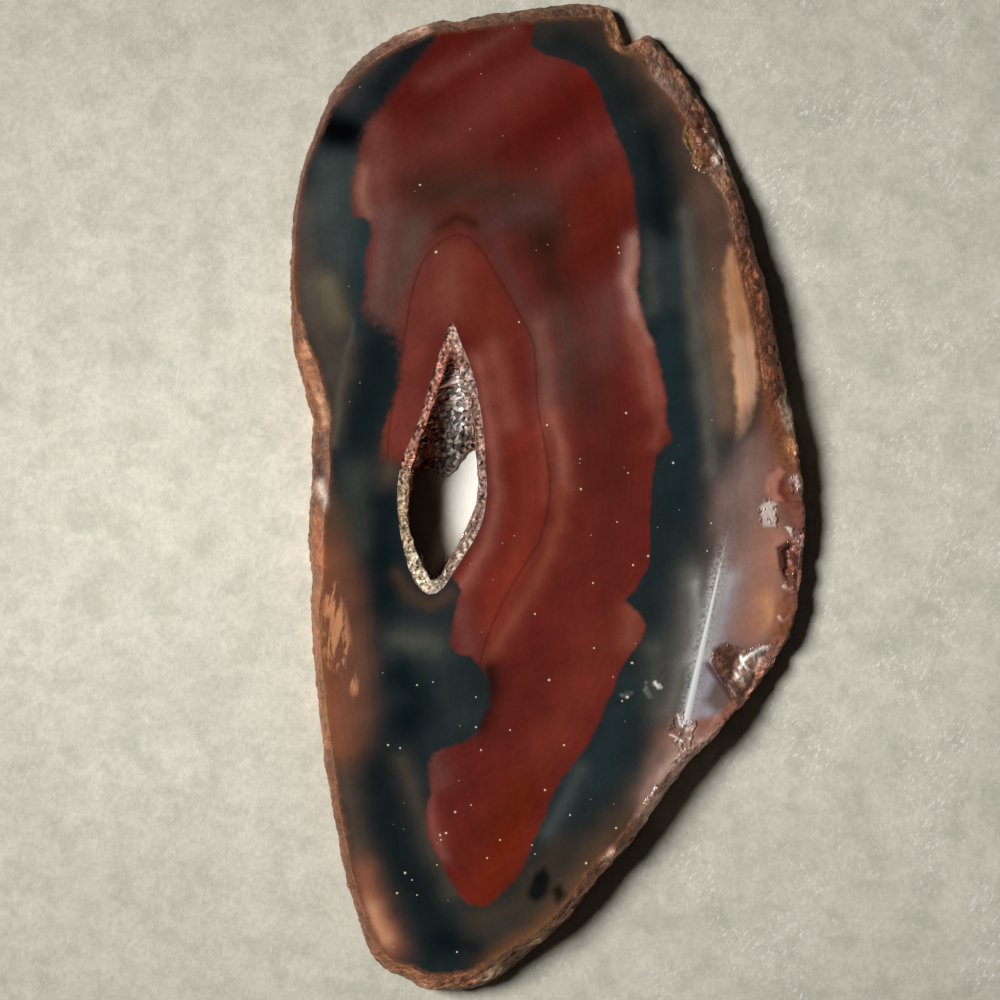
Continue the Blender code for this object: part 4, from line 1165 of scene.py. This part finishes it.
def polished_stone():
    finish = Finish("Polished agate")
    colour = stone_colour(finish)
    rim = finish.math("MULTIPLY_ADD", finish.noise(RIM_FRAY_SIZE, 4, 0.6), 9, finish.kept("edge"))
    colour = finish.mix(finish.eased(rim, 3, 10, 0.9, 0.0), colour,
                        finish.varied(finish.kept("skin", True), finish.noise(0.0006, 4, 0.6), 0.4))
    broken = finish.kept("broken")
    grain = finish.noise(BREAK_GRAIN_SIZE, 4, 0.7)
    unbroken = finish.math("MULTIPLY_ADD", broken, -0.5, 0.5)
    colour = finish.varied(colour, finish.math("MULTIPLY_ADD", grain, broken, unbroken), 0.5)
    # Painted light: lighter where the face slopes away from the lamp and darker where it slopes towards
    # it.
    colour = finish.lit(colour)
    # Painted highlight: the ridge is painted as a bright glint, wider towards its lower end, with a
    # painted grainy halo of light beside it.
    down = finish.kept("down_ridge")
    begun = finish.eased(down, 0.3, 0.56)
    highlight_core = finish.math("DIVIDE", finish.kept("ridge"), finish.eased(down, 0.45, 0.97, 1.3, 4.2))
    highlight_core = finish.math("MULTIPLY", finish.eased(highlight_core, 0.4, 1.3, 0.95, 0.0), begun)
    painted_halo = finish.math("MULTIPLY", finish.eased(finish.kept("ridge"), 1.0, 13.0, 0.55, 0.0), begun)
    painted_halo = finish.math("MULTIPLY", painted_halo, finish.eased(finish.noise(HALO_GRAIN_SIZE, 4, 0.75), 0.35, 0.6))
    painted_glint = finish.math("MAXIMUM", highlight_core, painted_halo)
    colour = finish.mix(painted_glint, colour, finish.flat(RIDGE_HIGHLIGHT_COLOUR))
    dust = finish.cells(DUST_SIZE)
    pick = finish.node("ShaderNodeSeparateColor")
    finish.put(finish.cells(DUST_SIZE, "Color"), pick.inputs[0])
    dust = finish.math("LESS_THAN", dust, finish.math("MULTIPLY", finish.math(
        "GREATER_THAN", pick.outputs[0], 0.86), 0.06))
    colour = finish.mix(finish.math("MULTIPLY", dust, 0.45), colour, finish.flat(DUST_COLOUR))
    colour = finish.mix(finish.eased(finish.kept("speck"), 0.35, 0.6, 0.0, 0.85), colour,
                        finish.flat(GRAIN_COLOUR))
    smooth = finish.mix(broken, (*[POLISHED_ROUGHNESS] * 3, 1), (*[BROKEN_ROUGHNESS] * 3, 1))
    patches = finish.eased(finish.noise(POLISH_PATCH_SIZE, 4), 0.3, 0.8, 0.0, 0.06)
    roughness = finish.math("ADD", smooth, patches)
    roughness = finish.math("ADD", roughness, finish.math("MULTIPLY", painted_glint, 0.3))
    ripple = finish.bump(finish.math("MULTIPLY", finish.noise(BREAK_RIPPLE_SIZE, 4, 0.6), broken),
                         BREAK_RIPPLE_DEPTH)
    return finish.done(colour, roughness, ripple)


def rough_skin():
    finish = Finish("Agate skin")
    colour = finish.kept("skin", True)
    relief = finish.kept("relief")
    # Painted shade and highlight: the skin is darker where its relief is recessed and lighter where it
    # stands out.
    colour = finish.varied(colour, finish.eased(relief, -0.7, 0.6), 0.22)
    colour = finish.varied(colour, finish.noise(SKIN_CLOUD_SIZE, 4, 0.6), 0.35)
    flows = finish.noise(SKIN_FLOW_SIZE, 3, 0.55, 1.2)
    colour = finish.mix(finish.eased(flows, 0.56, 0.72, 0.0, 0.35), colour, finish.flat(SKIN_FLOW_COLOUR))
    pits = finish.eased(finish.noise(SKIN_PIT_SIZE, 4, 0.6, 0.8), 0.3, 0.42, 0.55, 0.0)
    colour = finish.mix(pits, colour, finish.flat(SKIN_PIT_COLOUR))
    # Painted light: lighter where the skin slopes away from the lamp and darker where it slopes towards
    # it.
    colour = finish.lit(finish.varied(colour, finish.noise(0.0003, 3, 0.6), 0.12))
    roughness = finish.eased(finish.noise(0.0008, 4, 0.6), 0.3, 0.75, 0.4, 0.7)
    rough = finish.bump(finish.noise(SKIN_ROUGH_SIZE, 4, 0.6), SKIN_ROUGH_DEPTH)
    return finish.done(colour, roughness, rough)


def sawn_stone():
    finish = Finish("Sawn agate")
    colour = finish.varied(stone_colour(finish), finish.noise(0.0005, 4, 0.7), 0.15)
    marks = finish.noise(SAW_MARK_SIZE, 3, 0.6, places=finish.scaled(SAW_MARK_STRETCH, 1, 1))
    colour = finish.varied(colour, marks, 0.12)
    roughness = finish.eased(marks, 0.3, 0.7, 0.45, 0.62)
    return finish.done(colour, roughness, finish.bump(marks, SAW_MARK_DEPTH))


points, faces, sheet, parts, cut, broken, relief, speck, light = make_slab()
slab_mesh = new_mesh("agate_slab", points, faces)
slab_map = slab_mesh.uv_layers.new(name="OFBake")
slab_map.data.foreach_set("uv", (sheet / SHEET).ravel())
slab_mesh.polygons.foreach_set("use_smooth", np.ones(len(faces), bool))
for made_finish in (polished_stone(), rough_skin(), sawn_stone()):
    slab_mesh.materials.append(made_finish)
cut_away = (parts == 1) & (cut | broken)[faces].all(axis=1)
slab_mesh.polygons.foreach_set("material_index", np.where(cut_away, 0, np.minimum(parts, 2)))
colour_slab(slab_mesh, points, broken)
for kept_name, kept_values in (("speck", speck), ("relief", relief),
                               ("light", np.clip(light, LEAST_LIGHT, MOST_LIGHT))):
    store(slab_mesh, kept_name, kept_values)
mark_corners(slab_mesh, parts, broken)
slab = bpy.data.objects.new("agate_slab", slab_mesh)
bpy.context.scene.collection.objects.link(slab)
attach(slab, "root")
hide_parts("agate_slice")

# The hollow's lining: one crust of small quartz crystals, cut level with the polished face at its
# rim and sloping down to its mouth at the underside. It sits in the slab's hollow.

CRYSTAL_SEED = 7
TOP_SPACING = 0.00042
LOW_SPACING = 0.0008
CRYSTAL_TRIES = 30000
CLUSTER_SIZE = 0.0018
CLUSTERING = 0.7
CRYSTAL_HEIGHT = (0.4, 1.5)
CRYSTAL_LEAN = 0.45
CRUST_GAP = 0.00002
CRUST_BOTTOM = 0.0003
LIP_SHAKE = 0.00012
BAND_SPACING = 0.00034
BAND_DEPTH = 0.00035
CRUST_PULL = 0.006
# The crystals are painted darker in their valleys as shade and lighter towards their tips as highlight.
# How much each point is coloured as a crystal's tip, from 0 in a valley to 1: at the crust's rims,
# at the tips, on the outer wall, and on the sawn band, where it is the least and the span.
RIM_TIP = 0.3
TIP_SPAN = (0.25, 1)
WALL_TIP = 0.5
BAND_TIP_SPAN = (0.2, 0.6)
MOST_CRYSTALS = 4000
BAND_ROOM = 0.5
# The facets of the sawn band differ less than the crystals': the least tone and the span.
BAND_TONES = (0.28, 0.44)
MAP_GAP = 0.0008
WALL_MAP_STEP = 0.0005
VALLEY_SHADE_COLOUR = "45190d"
TIP_HIGHLIGHT_COLOUR = "f4eee6"
GLOW_SHARE = 0.35
GLOW_REACH = (1.0, 0.6, 0.45)
GLOW_SIZE = 0.0008

CRYSTAL_GROUND = "9a7a6a"
CRYSTAL_STROKES = [
    # The stroke down the left wall is painted lighter because that wall stands in shade.
    ("c06c50", 1, 14, 8, [(441, 356), (436, 400), (424, 436), (418, 470), (416, 500)]),
    ("6a3020", 1, 5, 5, [(452, 358), (450, 380)]),
    ("efe6de", 1, 12, 7, [(462, 385), (458, 410), (456, 440), (448, 465)]),
    ("a8806c", 1, 6, 5, [(471, 385), (477, 415), (479, 450)]),
    ("b48d7c", 1, 5, 5, [(452, 322), (455, 345)]),
    ("a87864", 1, 5, 4, [(440, 350), (428, 395), (412, 440), (402, 466)]),
    ("987266", 1, 6, 5, [(463, 345), (478, 390), (485, 430), (487, 490), (480, 528)]),
    ("b09776", 1, 8, 6, [(402, 478), (400, 510), (405, 540)]),
    ("d8c4a6", 1, 8, 6, [(408, 555), (420, 580), (440, 590)]),
    ("b7a08c", 1, 8, 6, [(440, 590), (456, 570), (474, 540)]),
]


class CrystalFace:
    """The slope that the crystals stand on: straight from the crust's lip down to its mouth."""

    def __init__(self, lip, mouth):
        self.lip = np.vstack([lip, lip[:1]])
        self.mouth = np.vstack([mouth, mouth[:1]])
        self.stations = np.arange(len(self.lip))
        down = self.mouth - self.lip
        lost = np.linalg.norm(down, axis=1) - np.linalg.norm(down[:, :2], axis=1)
        outwards = -inward(mouth, smoothing=3)
        self.spread = np.vstack([outwards, outwards[:1]]) * lost[:, None]

    def at(self, station, columns):
        return np.array([np.interp(station, self.stations, column) for column in columns.T])

    def point(self, station, share):
        upper = self.at(station, self.lip)
        return upper + (self.at(station, self.mouth) - upper) * share

    def flat(self, station, share):
        """The point's place when the face is flattened round its mouth, about true to length."""
        return self.point(station, share)[:2] + self.at(station, self.spread) * (1 - share)

    def normal(self, station, share):
        """Out of the crust, into the hollow."""
        before, after = max(station - 1, 0), min(station + 1, self.stations[-1])
        across = self.point(after, share) - self.point(before, share)
        outwards = np.cross(across, self.point(station, 1) - self.point(station, 0))
        return outwards / np.linalg.norm(outwards)


def crystal_places(face, generator):
    """Where crystals stand on the face, closer together near its lip."""
    edges = [face.point(station, share) for station in face.stations for share in (0, 1)]
    feet = np.array(edges + [edges[0]] * MOST_CRYSTALS)
    count, places = len(edges), []
    for _ in range(CRYSTAL_TRIES):
        station, share = generator.uniform(0, face.stations[-1]), generator.random()
        foot = face.point(station, share)
        spacing = TOP_SPACING + (LOW_SPACING - TOP_SPACING) * share
        spacing *= 1 + CLUSTERING * noise.noise(Vector(foot) / CLUSTER_SIZE)
        away = np.linalg.norm(feet[:count] - foot, axis=1)
        if away[:len(edges)].min() > 0.5 * spacing and (away[len(edges):] > spacing).all():
            feet[count] = foot
            count += 1
            places.append((station, share))
    return places


def crystal_tip(face, place, generator):
    """The tip of a crystal: up from the face, leaning a little, and cut off by the saw."""
    foot = face.point(*place)
    direction = face.normal(*place) + [generator.gauss(0, CRYSTAL_LEAN) for _ in range(3)]
    direction /= np.linalg.norm(direction)
    spacing = TOP_SPACING + (LOW_SPACING - TOP_SPACING) * place[1]
    height = generator.uniform(*CRYSTAL_HEIGHT) * spacing
    room = THICKNESS - CUT_MARGIN - foot[2] if direction[2] > 0 else CRUST_BOTTOM - foot[2]
    return foot + direction * min(height, room / direction[2])


def is_convex(*corners):
    """Whether the corners, in their order, go round a shape without a notch."""
    turns = []
    for k in range(4):
        a, b, c = corners[k], corners[(k + 1) % 4], corners[(k + 2) % 4]
        turns.append((b[0] - a[0]) * (c[1] - b[1]) - (b[1] - a[1]) * (c[0] - b[0]))
    return all(turn > 0 for turn in turns) or all(turn < 0 for turn in turns)


def crystal_slope(face, generator):
    """Crystals over the face: flat-faced points with valleys between, their map and their tips."""
    places = crystal_places(face, generator)
    count = len(face.lip) - 1
    feet = [*face.lip[:-1], *face.mouth[:-1]] + [face.point(*place) for place in places]
    points = feet[:2 * count] + [crystal_tip(face, place, generator) for place in places]
    tips = [RIM_TIP] * (2 * count) + [generator.uniform(*TIP_SPAN) for _ in places]
    flat = [face.flat(station, share) for share in (0, 1) for station in range(count)]
    flat += [face.flat(*place) for place in places]
    loops = [(start + i, start + (i + 1) % count) for start in (0, count) for i in range(count)]
    made = geometry.delaunay_2d_cdt([Vector(place) for place in flat], loops, [], 0, TOUCHING)[2]
    middles = np.array([np.mean([flat[corner] for corner in triangle], axis=0) for triangle in made])
    wanted = inside(np.array(flat[:count]), middles) & ~inside(np.array(flat[count:2 * count]), middles)

    # Each three neighbouring crystals have the bottom of a valley between them, and across each
    # side that two such threes share, a valley line joins their two bottoms.
    sides = {}
    for number in np.flatnonzero(wanted):
        triangle = made[number]
        for k in range(3):
            side = frozenset((triangle[k], triangle[(k + 1) % 3]))
            sides.setdefault(side, []).append(len(points))
        points.append(np.mean([feet[corner] for corner in triangle], axis=0))
        flat.append(middles[number])
        tips.append(0.0)
    faces = []
    for (first, second), valleys in sides.items():
        if len(valleys) == 2 and is_convex(flat[first], flat[valleys[0]], flat[second],
                                           flat[valleys[1]]):
            faces += [(first, *valleys), (second, *valleys)]
        else:
            faces += [(first, second, valley) for valley in valleys]
    return points, np.array(faces), np.array(flat), tips


def laid_out(pieces):
    """Put the flat pieces of a map side by side, each given as faces' corners, and fill the sheet."""
    reach, tallest, placed_pieces = 0, 0, []
    for piece in pieces:
        low, high = piece.reshape(-1, 2).min(0), piece.reshape(-1, 2).max(0)
        placed_pieces.append(piece - low + [reach, 0])
        reach += (high - low)[0] + MAP_GAP
        tallest = max(tallest, (high - low)[1])
    return np.vstack(placed_pieces) / max(reach, tallest)


def make_druse():
    """The crust: its crystals, the sawn band round their lip, its outer wall and its underside."""
    generator = random.Random(CRYSTAL_SEED)
    rim, lip, mouth = hollow_loops()
    count = len(lip)
    shake = np.array([[generator.uniform(-1, 1) for _ in range(3)] for _ in range(2 * count)])
    shake *= LIP_SHAKE
    lip = at_height(lip, THICKNESS - CUT_MARGIN - LIP_SHAKE) + shake[:count]
    mouth = at_height(mouth + shake[count:, :2], CRUST_BOTTOM)
    points, slope, flat, tips = crystal_slope(CrystalFace(lip, mouth), generator)

    top = at_height(inset(rim, CRUST_GAP), THICKNESS - CUT_MARGIN)
    bottom = wall_foot(mouth[:, :2] - shake[count:, :2])
    bottom = at_height(rim + (bottom - rim) * (1 - CRUST_BOTTOM / THICKNESS), CRUST_BOTTOM)
    bottom[:, :2] += (placed(*HOLLOW_MIDDLE) - bottom[:, :2]) * CRUST_PULL
    strewn_band = strewn(rim.min(0), rim.max(0), BAND_SPACING, np.random.default_rng(CRYSTAL_SEED))
    strewn_band = strewn_band[inside(top, strewn_band) & ~inside(lip, strewn_band)]
    strewn_band = strewn_band[clear_of([top, lip], strewn_band, BAND_ROOM * BAND_SPACING)]
    heights = [THICKNESS - CUT_MARGIN - BAND_DEPTH * generator.random()**2 for _ in strewn_band]
    band = triangles_between(top, lip, strewn_band)
    top_start = len(points)
    bottom_start, band_start = top_start + count, top_start + 2 * count
    points = np.vstack([points, top, bottom, at_height(strewn_band, heights)])
    numbers = np.concatenate([top_start + np.arange(count), np.arange(count),
                              band_start + np.arange(len(strewn_band))])
    band = numbers[band]
    wall, wall_stations, wall_levels = joined_rings(count, top_start, bottom_start)
    under, _, _ = joined_rings(count, bottom_start, count)
    wall_map = np.stack([wall_levels * THICKNESS, wall_stations * WALL_MAP_STEP], axis=2)
    sheet = laid_out([flat[slope], points[band, :2], wall_map, points[under, :2]])
    band_tips = [BAND_TIP_SPAN[0] + BAND_TIP_SPAN[1] * generator.random() for _ in strewn_band]
    tips = np.concatenate([tips, [WALL_TIP] * (2 * count), band_tips])
    sawn = (np.arange(len(points)) >= top_start).astype(float)
    return points, np.vstack([slope, band, wall, under]), sheet, tips, sawn


def crystal_quartz():
    finish = Finish("Quartz crystals")
    tip = finish.kept("tip")
    sawn = finish.kept("sawn")
    colour = finish.kept("crystal", True)
    colour = finish.varied(colour, finish.noise(0.0008, 4, 0.65), 0.3)
    # Painted shade in the valleys, a painted highlight towards the tips, and a random tone on each facet
    # as painted glitter.
    colour = finish.mix(finish.eased(tip, 0.5, 0.0, 0.0, 0.6), colour, finish.flat(VALLEY_SHADE_COLOUR))
    colour = finish.mix(finish.eased(tip, 0.55, 1.0, 0.0, 0.5), colour, finish.flat(TIP_HIGHLIGHT_COLOUR))
    colour = finish.varied(colour, finish.kept("facet"), 0.7)
    clear = finish.eased(finish.noise(0.0006, 3), 0.3, 0.8, 0.1, 0.28)
    roughness = finish.math("MULTIPLY_ADD", sawn, 0.3, clear)
    finish.surface.inputs["Subsurface Weight"].default_value = GLOW_SHARE
    finish.surface.inputs["Subsurface Radius"].default_value = GLOW_REACH
    finish.surface.inputs["Subsurface Scale"].default_value = GLOW_SIZE
    grains = finish.math("MULTIPLY", finish.noise(0.0006, 3, 0.6), sawn)
    return finish.done(colour, roughness, finish.bump(grains, 0.00012))


points, faces, sheet, tips, sawn = make_druse()
druse_mesh = new_mesh("quartz_lining", points, faces)
druse_map = druse_mesh.uv_layers.new(name="OFBake")
druse_map.data.foreach_set("uv", sheet.ravel())
places = points[:, :2] * [1, -1] / UNIT + MIDDLE
store(druse_mesh, "tip", tips)
store(druse_mesh, "sawn", sawn)
facet_tones = np.random.default_rng(CRYSTAL_SEED).random(len(faces))
on_band = sawn[faces].any(axis=1)
facet_tones[on_band] = BAND_TONES[0] + BAND_TONES[1] * facet_tones[on_band]
store(druse_mesh, "facet", facet_tones, "FACE")
store(druse_mesh, "crystal", painted(places, CRYSTAL_GROUND, CRYSTAL_STROKES))
turning = bmesh.new()
turning.from_mesh(druse_mesh)
bmesh.ops.recalc_face_normals(turning, faces=turning.faces)
turning.to_mesh(druse_mesh)
turning.free()
druse_mesh.materials.append(crystal_quartz())
druse = bpy.data.objects.new("quartz_lining", druse_mesh)
bpy.context.scene.collection.objects.link(druse)
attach(druse, "root")
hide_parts("crystal_crust")

# The paper that the slice lies on: one flat cream sheet, faintly clouded, with fine pale and grey fibres,
# a painted pool of light round the slice and painted shadow and light under the hollow. It lies flat as
# the floor, under the slab's foot.

PAPER_SIZE = 60
PAPER_DROP = 0.00001
PAPER_COLOURS = ("d9d5c3", "e6e1cf")
PAPER_SHADE_COLOUR = "b9bba6"
PAPER_FIBRE_COLOUR = "fdfaf0"
PAPER_FIBRES = (0.00035, 0.0009, -35)
# The fibres show more and more between these two places across, in metres.
FIBRES_FROM = -0.02
FIBRES_TO = 0.015
PAPER_ROUGHNESS = 0.85
PAPER_GRAIN_SIZE = 0.0005
PAPER_GRAIN_DEPTH = 0.00005
# A pool of light painted on the paper: where it is brightest, how far across and along it dims by its full
# painted shade, and that shade.
LIGHT_POOL_MIDDLE = (170, 500)
LIGHT_POOL_REACH = (700, 450)
DIM_SPAN = 2
DIM_LEAST = 0.48
# The paper seen through the hollow, with a painted shadow at the left and a painted patch of light at the
# right: colour, strength, middle and reach.
HOLLOW_SHADOW_AND_LIGHT = [("4a3a2a", 0.85, (415, 515), (36, 80)), ("fffdf2", 0.9, (470, 490), (34, 70))]


def mottled_paper():
    finish = Finish("Paper")
    clouds = finish.eased(finish.noise(0.011, 5, 0.6), 0.25, 0.75)
    colour = finish.mix(clouds, *(finish.flat(code) for code in PAPER_COLOURS))
    colour = finish.varied(colour, finish.noise(0.0022, 5, 0.65, 0.6), 0.09)
    colour = finish.varied(colour, finish.noise(0.0007, 4, 0.7), 0.08)
    shade = finish.noise(0.004, 5, 0.65)
    colour = finish.mix(finish.eased(shade, 0.48, 0.66, 0.0, 0.4), colour, finish.flat(PAPER_SHADE_COLOUR))
    streaks = finish.noise(1, 3, 0.75, places=finish.stretched(*PAPER_FIBRES))
    streaks = finish.math("MULTIPLY", finish.eased(streaks, 0.56, 0.62, 0.0, 0.9),
                          finish.eased(finish.noise(0.007, 4), 0.44, 0.62))
    across = finish.node("ShaderNodeSeparateXYZ")
    finish.put(finish.places, across.inputs[0])
    more = finish.eased(across.outputs[0], FIBRES_FROM, FIBRES_TO, 0.3, 1)
    streaks = finish.math("MULTIPLY", streaks, more)
    colour = finish.mix(streaks, colour, finish.flat(PAPER_FIBRE_COLOUR))
    # Painted light: the paper dims away from the painted pool of light.
    away = finish.out_from(LIGHT_POOL_MIDDLE, LIGHT_POOL_REACH)
    dim = finish.node("ShaderNodeMapRange")
    for setting, socket in zip((away, 0, DIM_SPAN, 1, DIM_LEAST), dim.inputs):
        finish.put(setting, socket)
    dimmed = finish.node("ShaderNodeVectorMath", operation="SCALE")
    finish.put(colour, dimmed.inputs[0])
    finish.put(dim.outputs[0], dimmed.inputs["Scale"])
    colour = dimmed.outputs[0]
    # Painted shadow and light on the paper seen through the hollow.
    for code, share, place, reach in HOLLOW_SHADOW_AND_LIGHT:
        cover = finish.eased(finish.out_from(place, reach), 0.5, 1.0, share, 0.0)
        colour = finish.mix(cover, colour, finish.flat(code))
    grain = finish.bump(finish.noise(PAPER_GRAIN_SIZE, 4, 0.7), PAPER_GRAIN_DEPTH)
    return finish.done(colour, PAPER_ROUGHNESS, grain)


paper_mesh = bpy.data.meshes.new("paper")
half = PAPER_SIZE / 2
paper_mesh.from_pydata([(-half, -half, -PAPER_DROP), (half, -half, -PAPER_DROP),
                        (half, half, -PAPER_DROP), (-half, half, -PAPER_DROP)], [], [(0, 1, 2, 3)])
paper_mesh.materials.append(mottled_paper())
paper = bpy.data.objects.new("paper", paper_mesh)
bpy.context.scene.collection.objects.link(paper)

# The light: one soft lamp high on the left, and a very faint fill from all round. The camera looks
# straight down from above.

LIGHT_WIDTH = math.radians(21)
FILL_STRENGTH = 0.018
FILL_COLOUR = (1, 0.96, 0.9, 1)
CAMERA_HEIGHT = 1.2
PHOTO_MIDDLE = (500, 500)
PHOTO_WIDTH = 0.1
SENSOR_WIDTH = 36
NEAREST_SEEN = 0.1
FARTHEST_SEEN = 30

lamp = bpy.data.lights.new("soft_lamp", "SUN")
lamp.energy = math.pi / LIGHT_FROM.z
lamp.angle = LIGHT_WIDTH
soft_lamp = bpy.data.objects.new("soft_lamp", lamp)
soft_lamp.rotation_euler = LIGHT_FROM.to_track_quat("Z", "Y").to_euler()
bpy.context.scene.collection.objects.link(soft_lamp)

world = bpy.data.worlds.new("faint_fill")
world.use_nodes = True
world.node_tree.nodes["Background"].inputs["Color"].default_value = FILL_COLOUR
world.node_tree.nodes["Background"].inputs["Strength"].default_value = FILL_STRENGTH
bpy.context.scene.world = world
bpy.context.scene.view_settings.view_transform = "Standard"

lens = bpy.data.cameras.new("camera")
lens.sensor_width = SENSOR_WIDTH
lens.lens = SENSOR_WIDTH * (CAMERA_HEIGHT - THICKNESS) / PHOTO_WIDTH
lens.clip_start = NEAREST_SEEN
lens.clip_end = FARTHEST_SEEN
camera = bpy.data.objects.new("camera", lens)
camera.location = (*placed(*PHOTO_MIDDLE), CAMERA_HEIGHT)
bpy.context.scene.collection.objects.link(camera)
bpy.context.scene.camera = camera
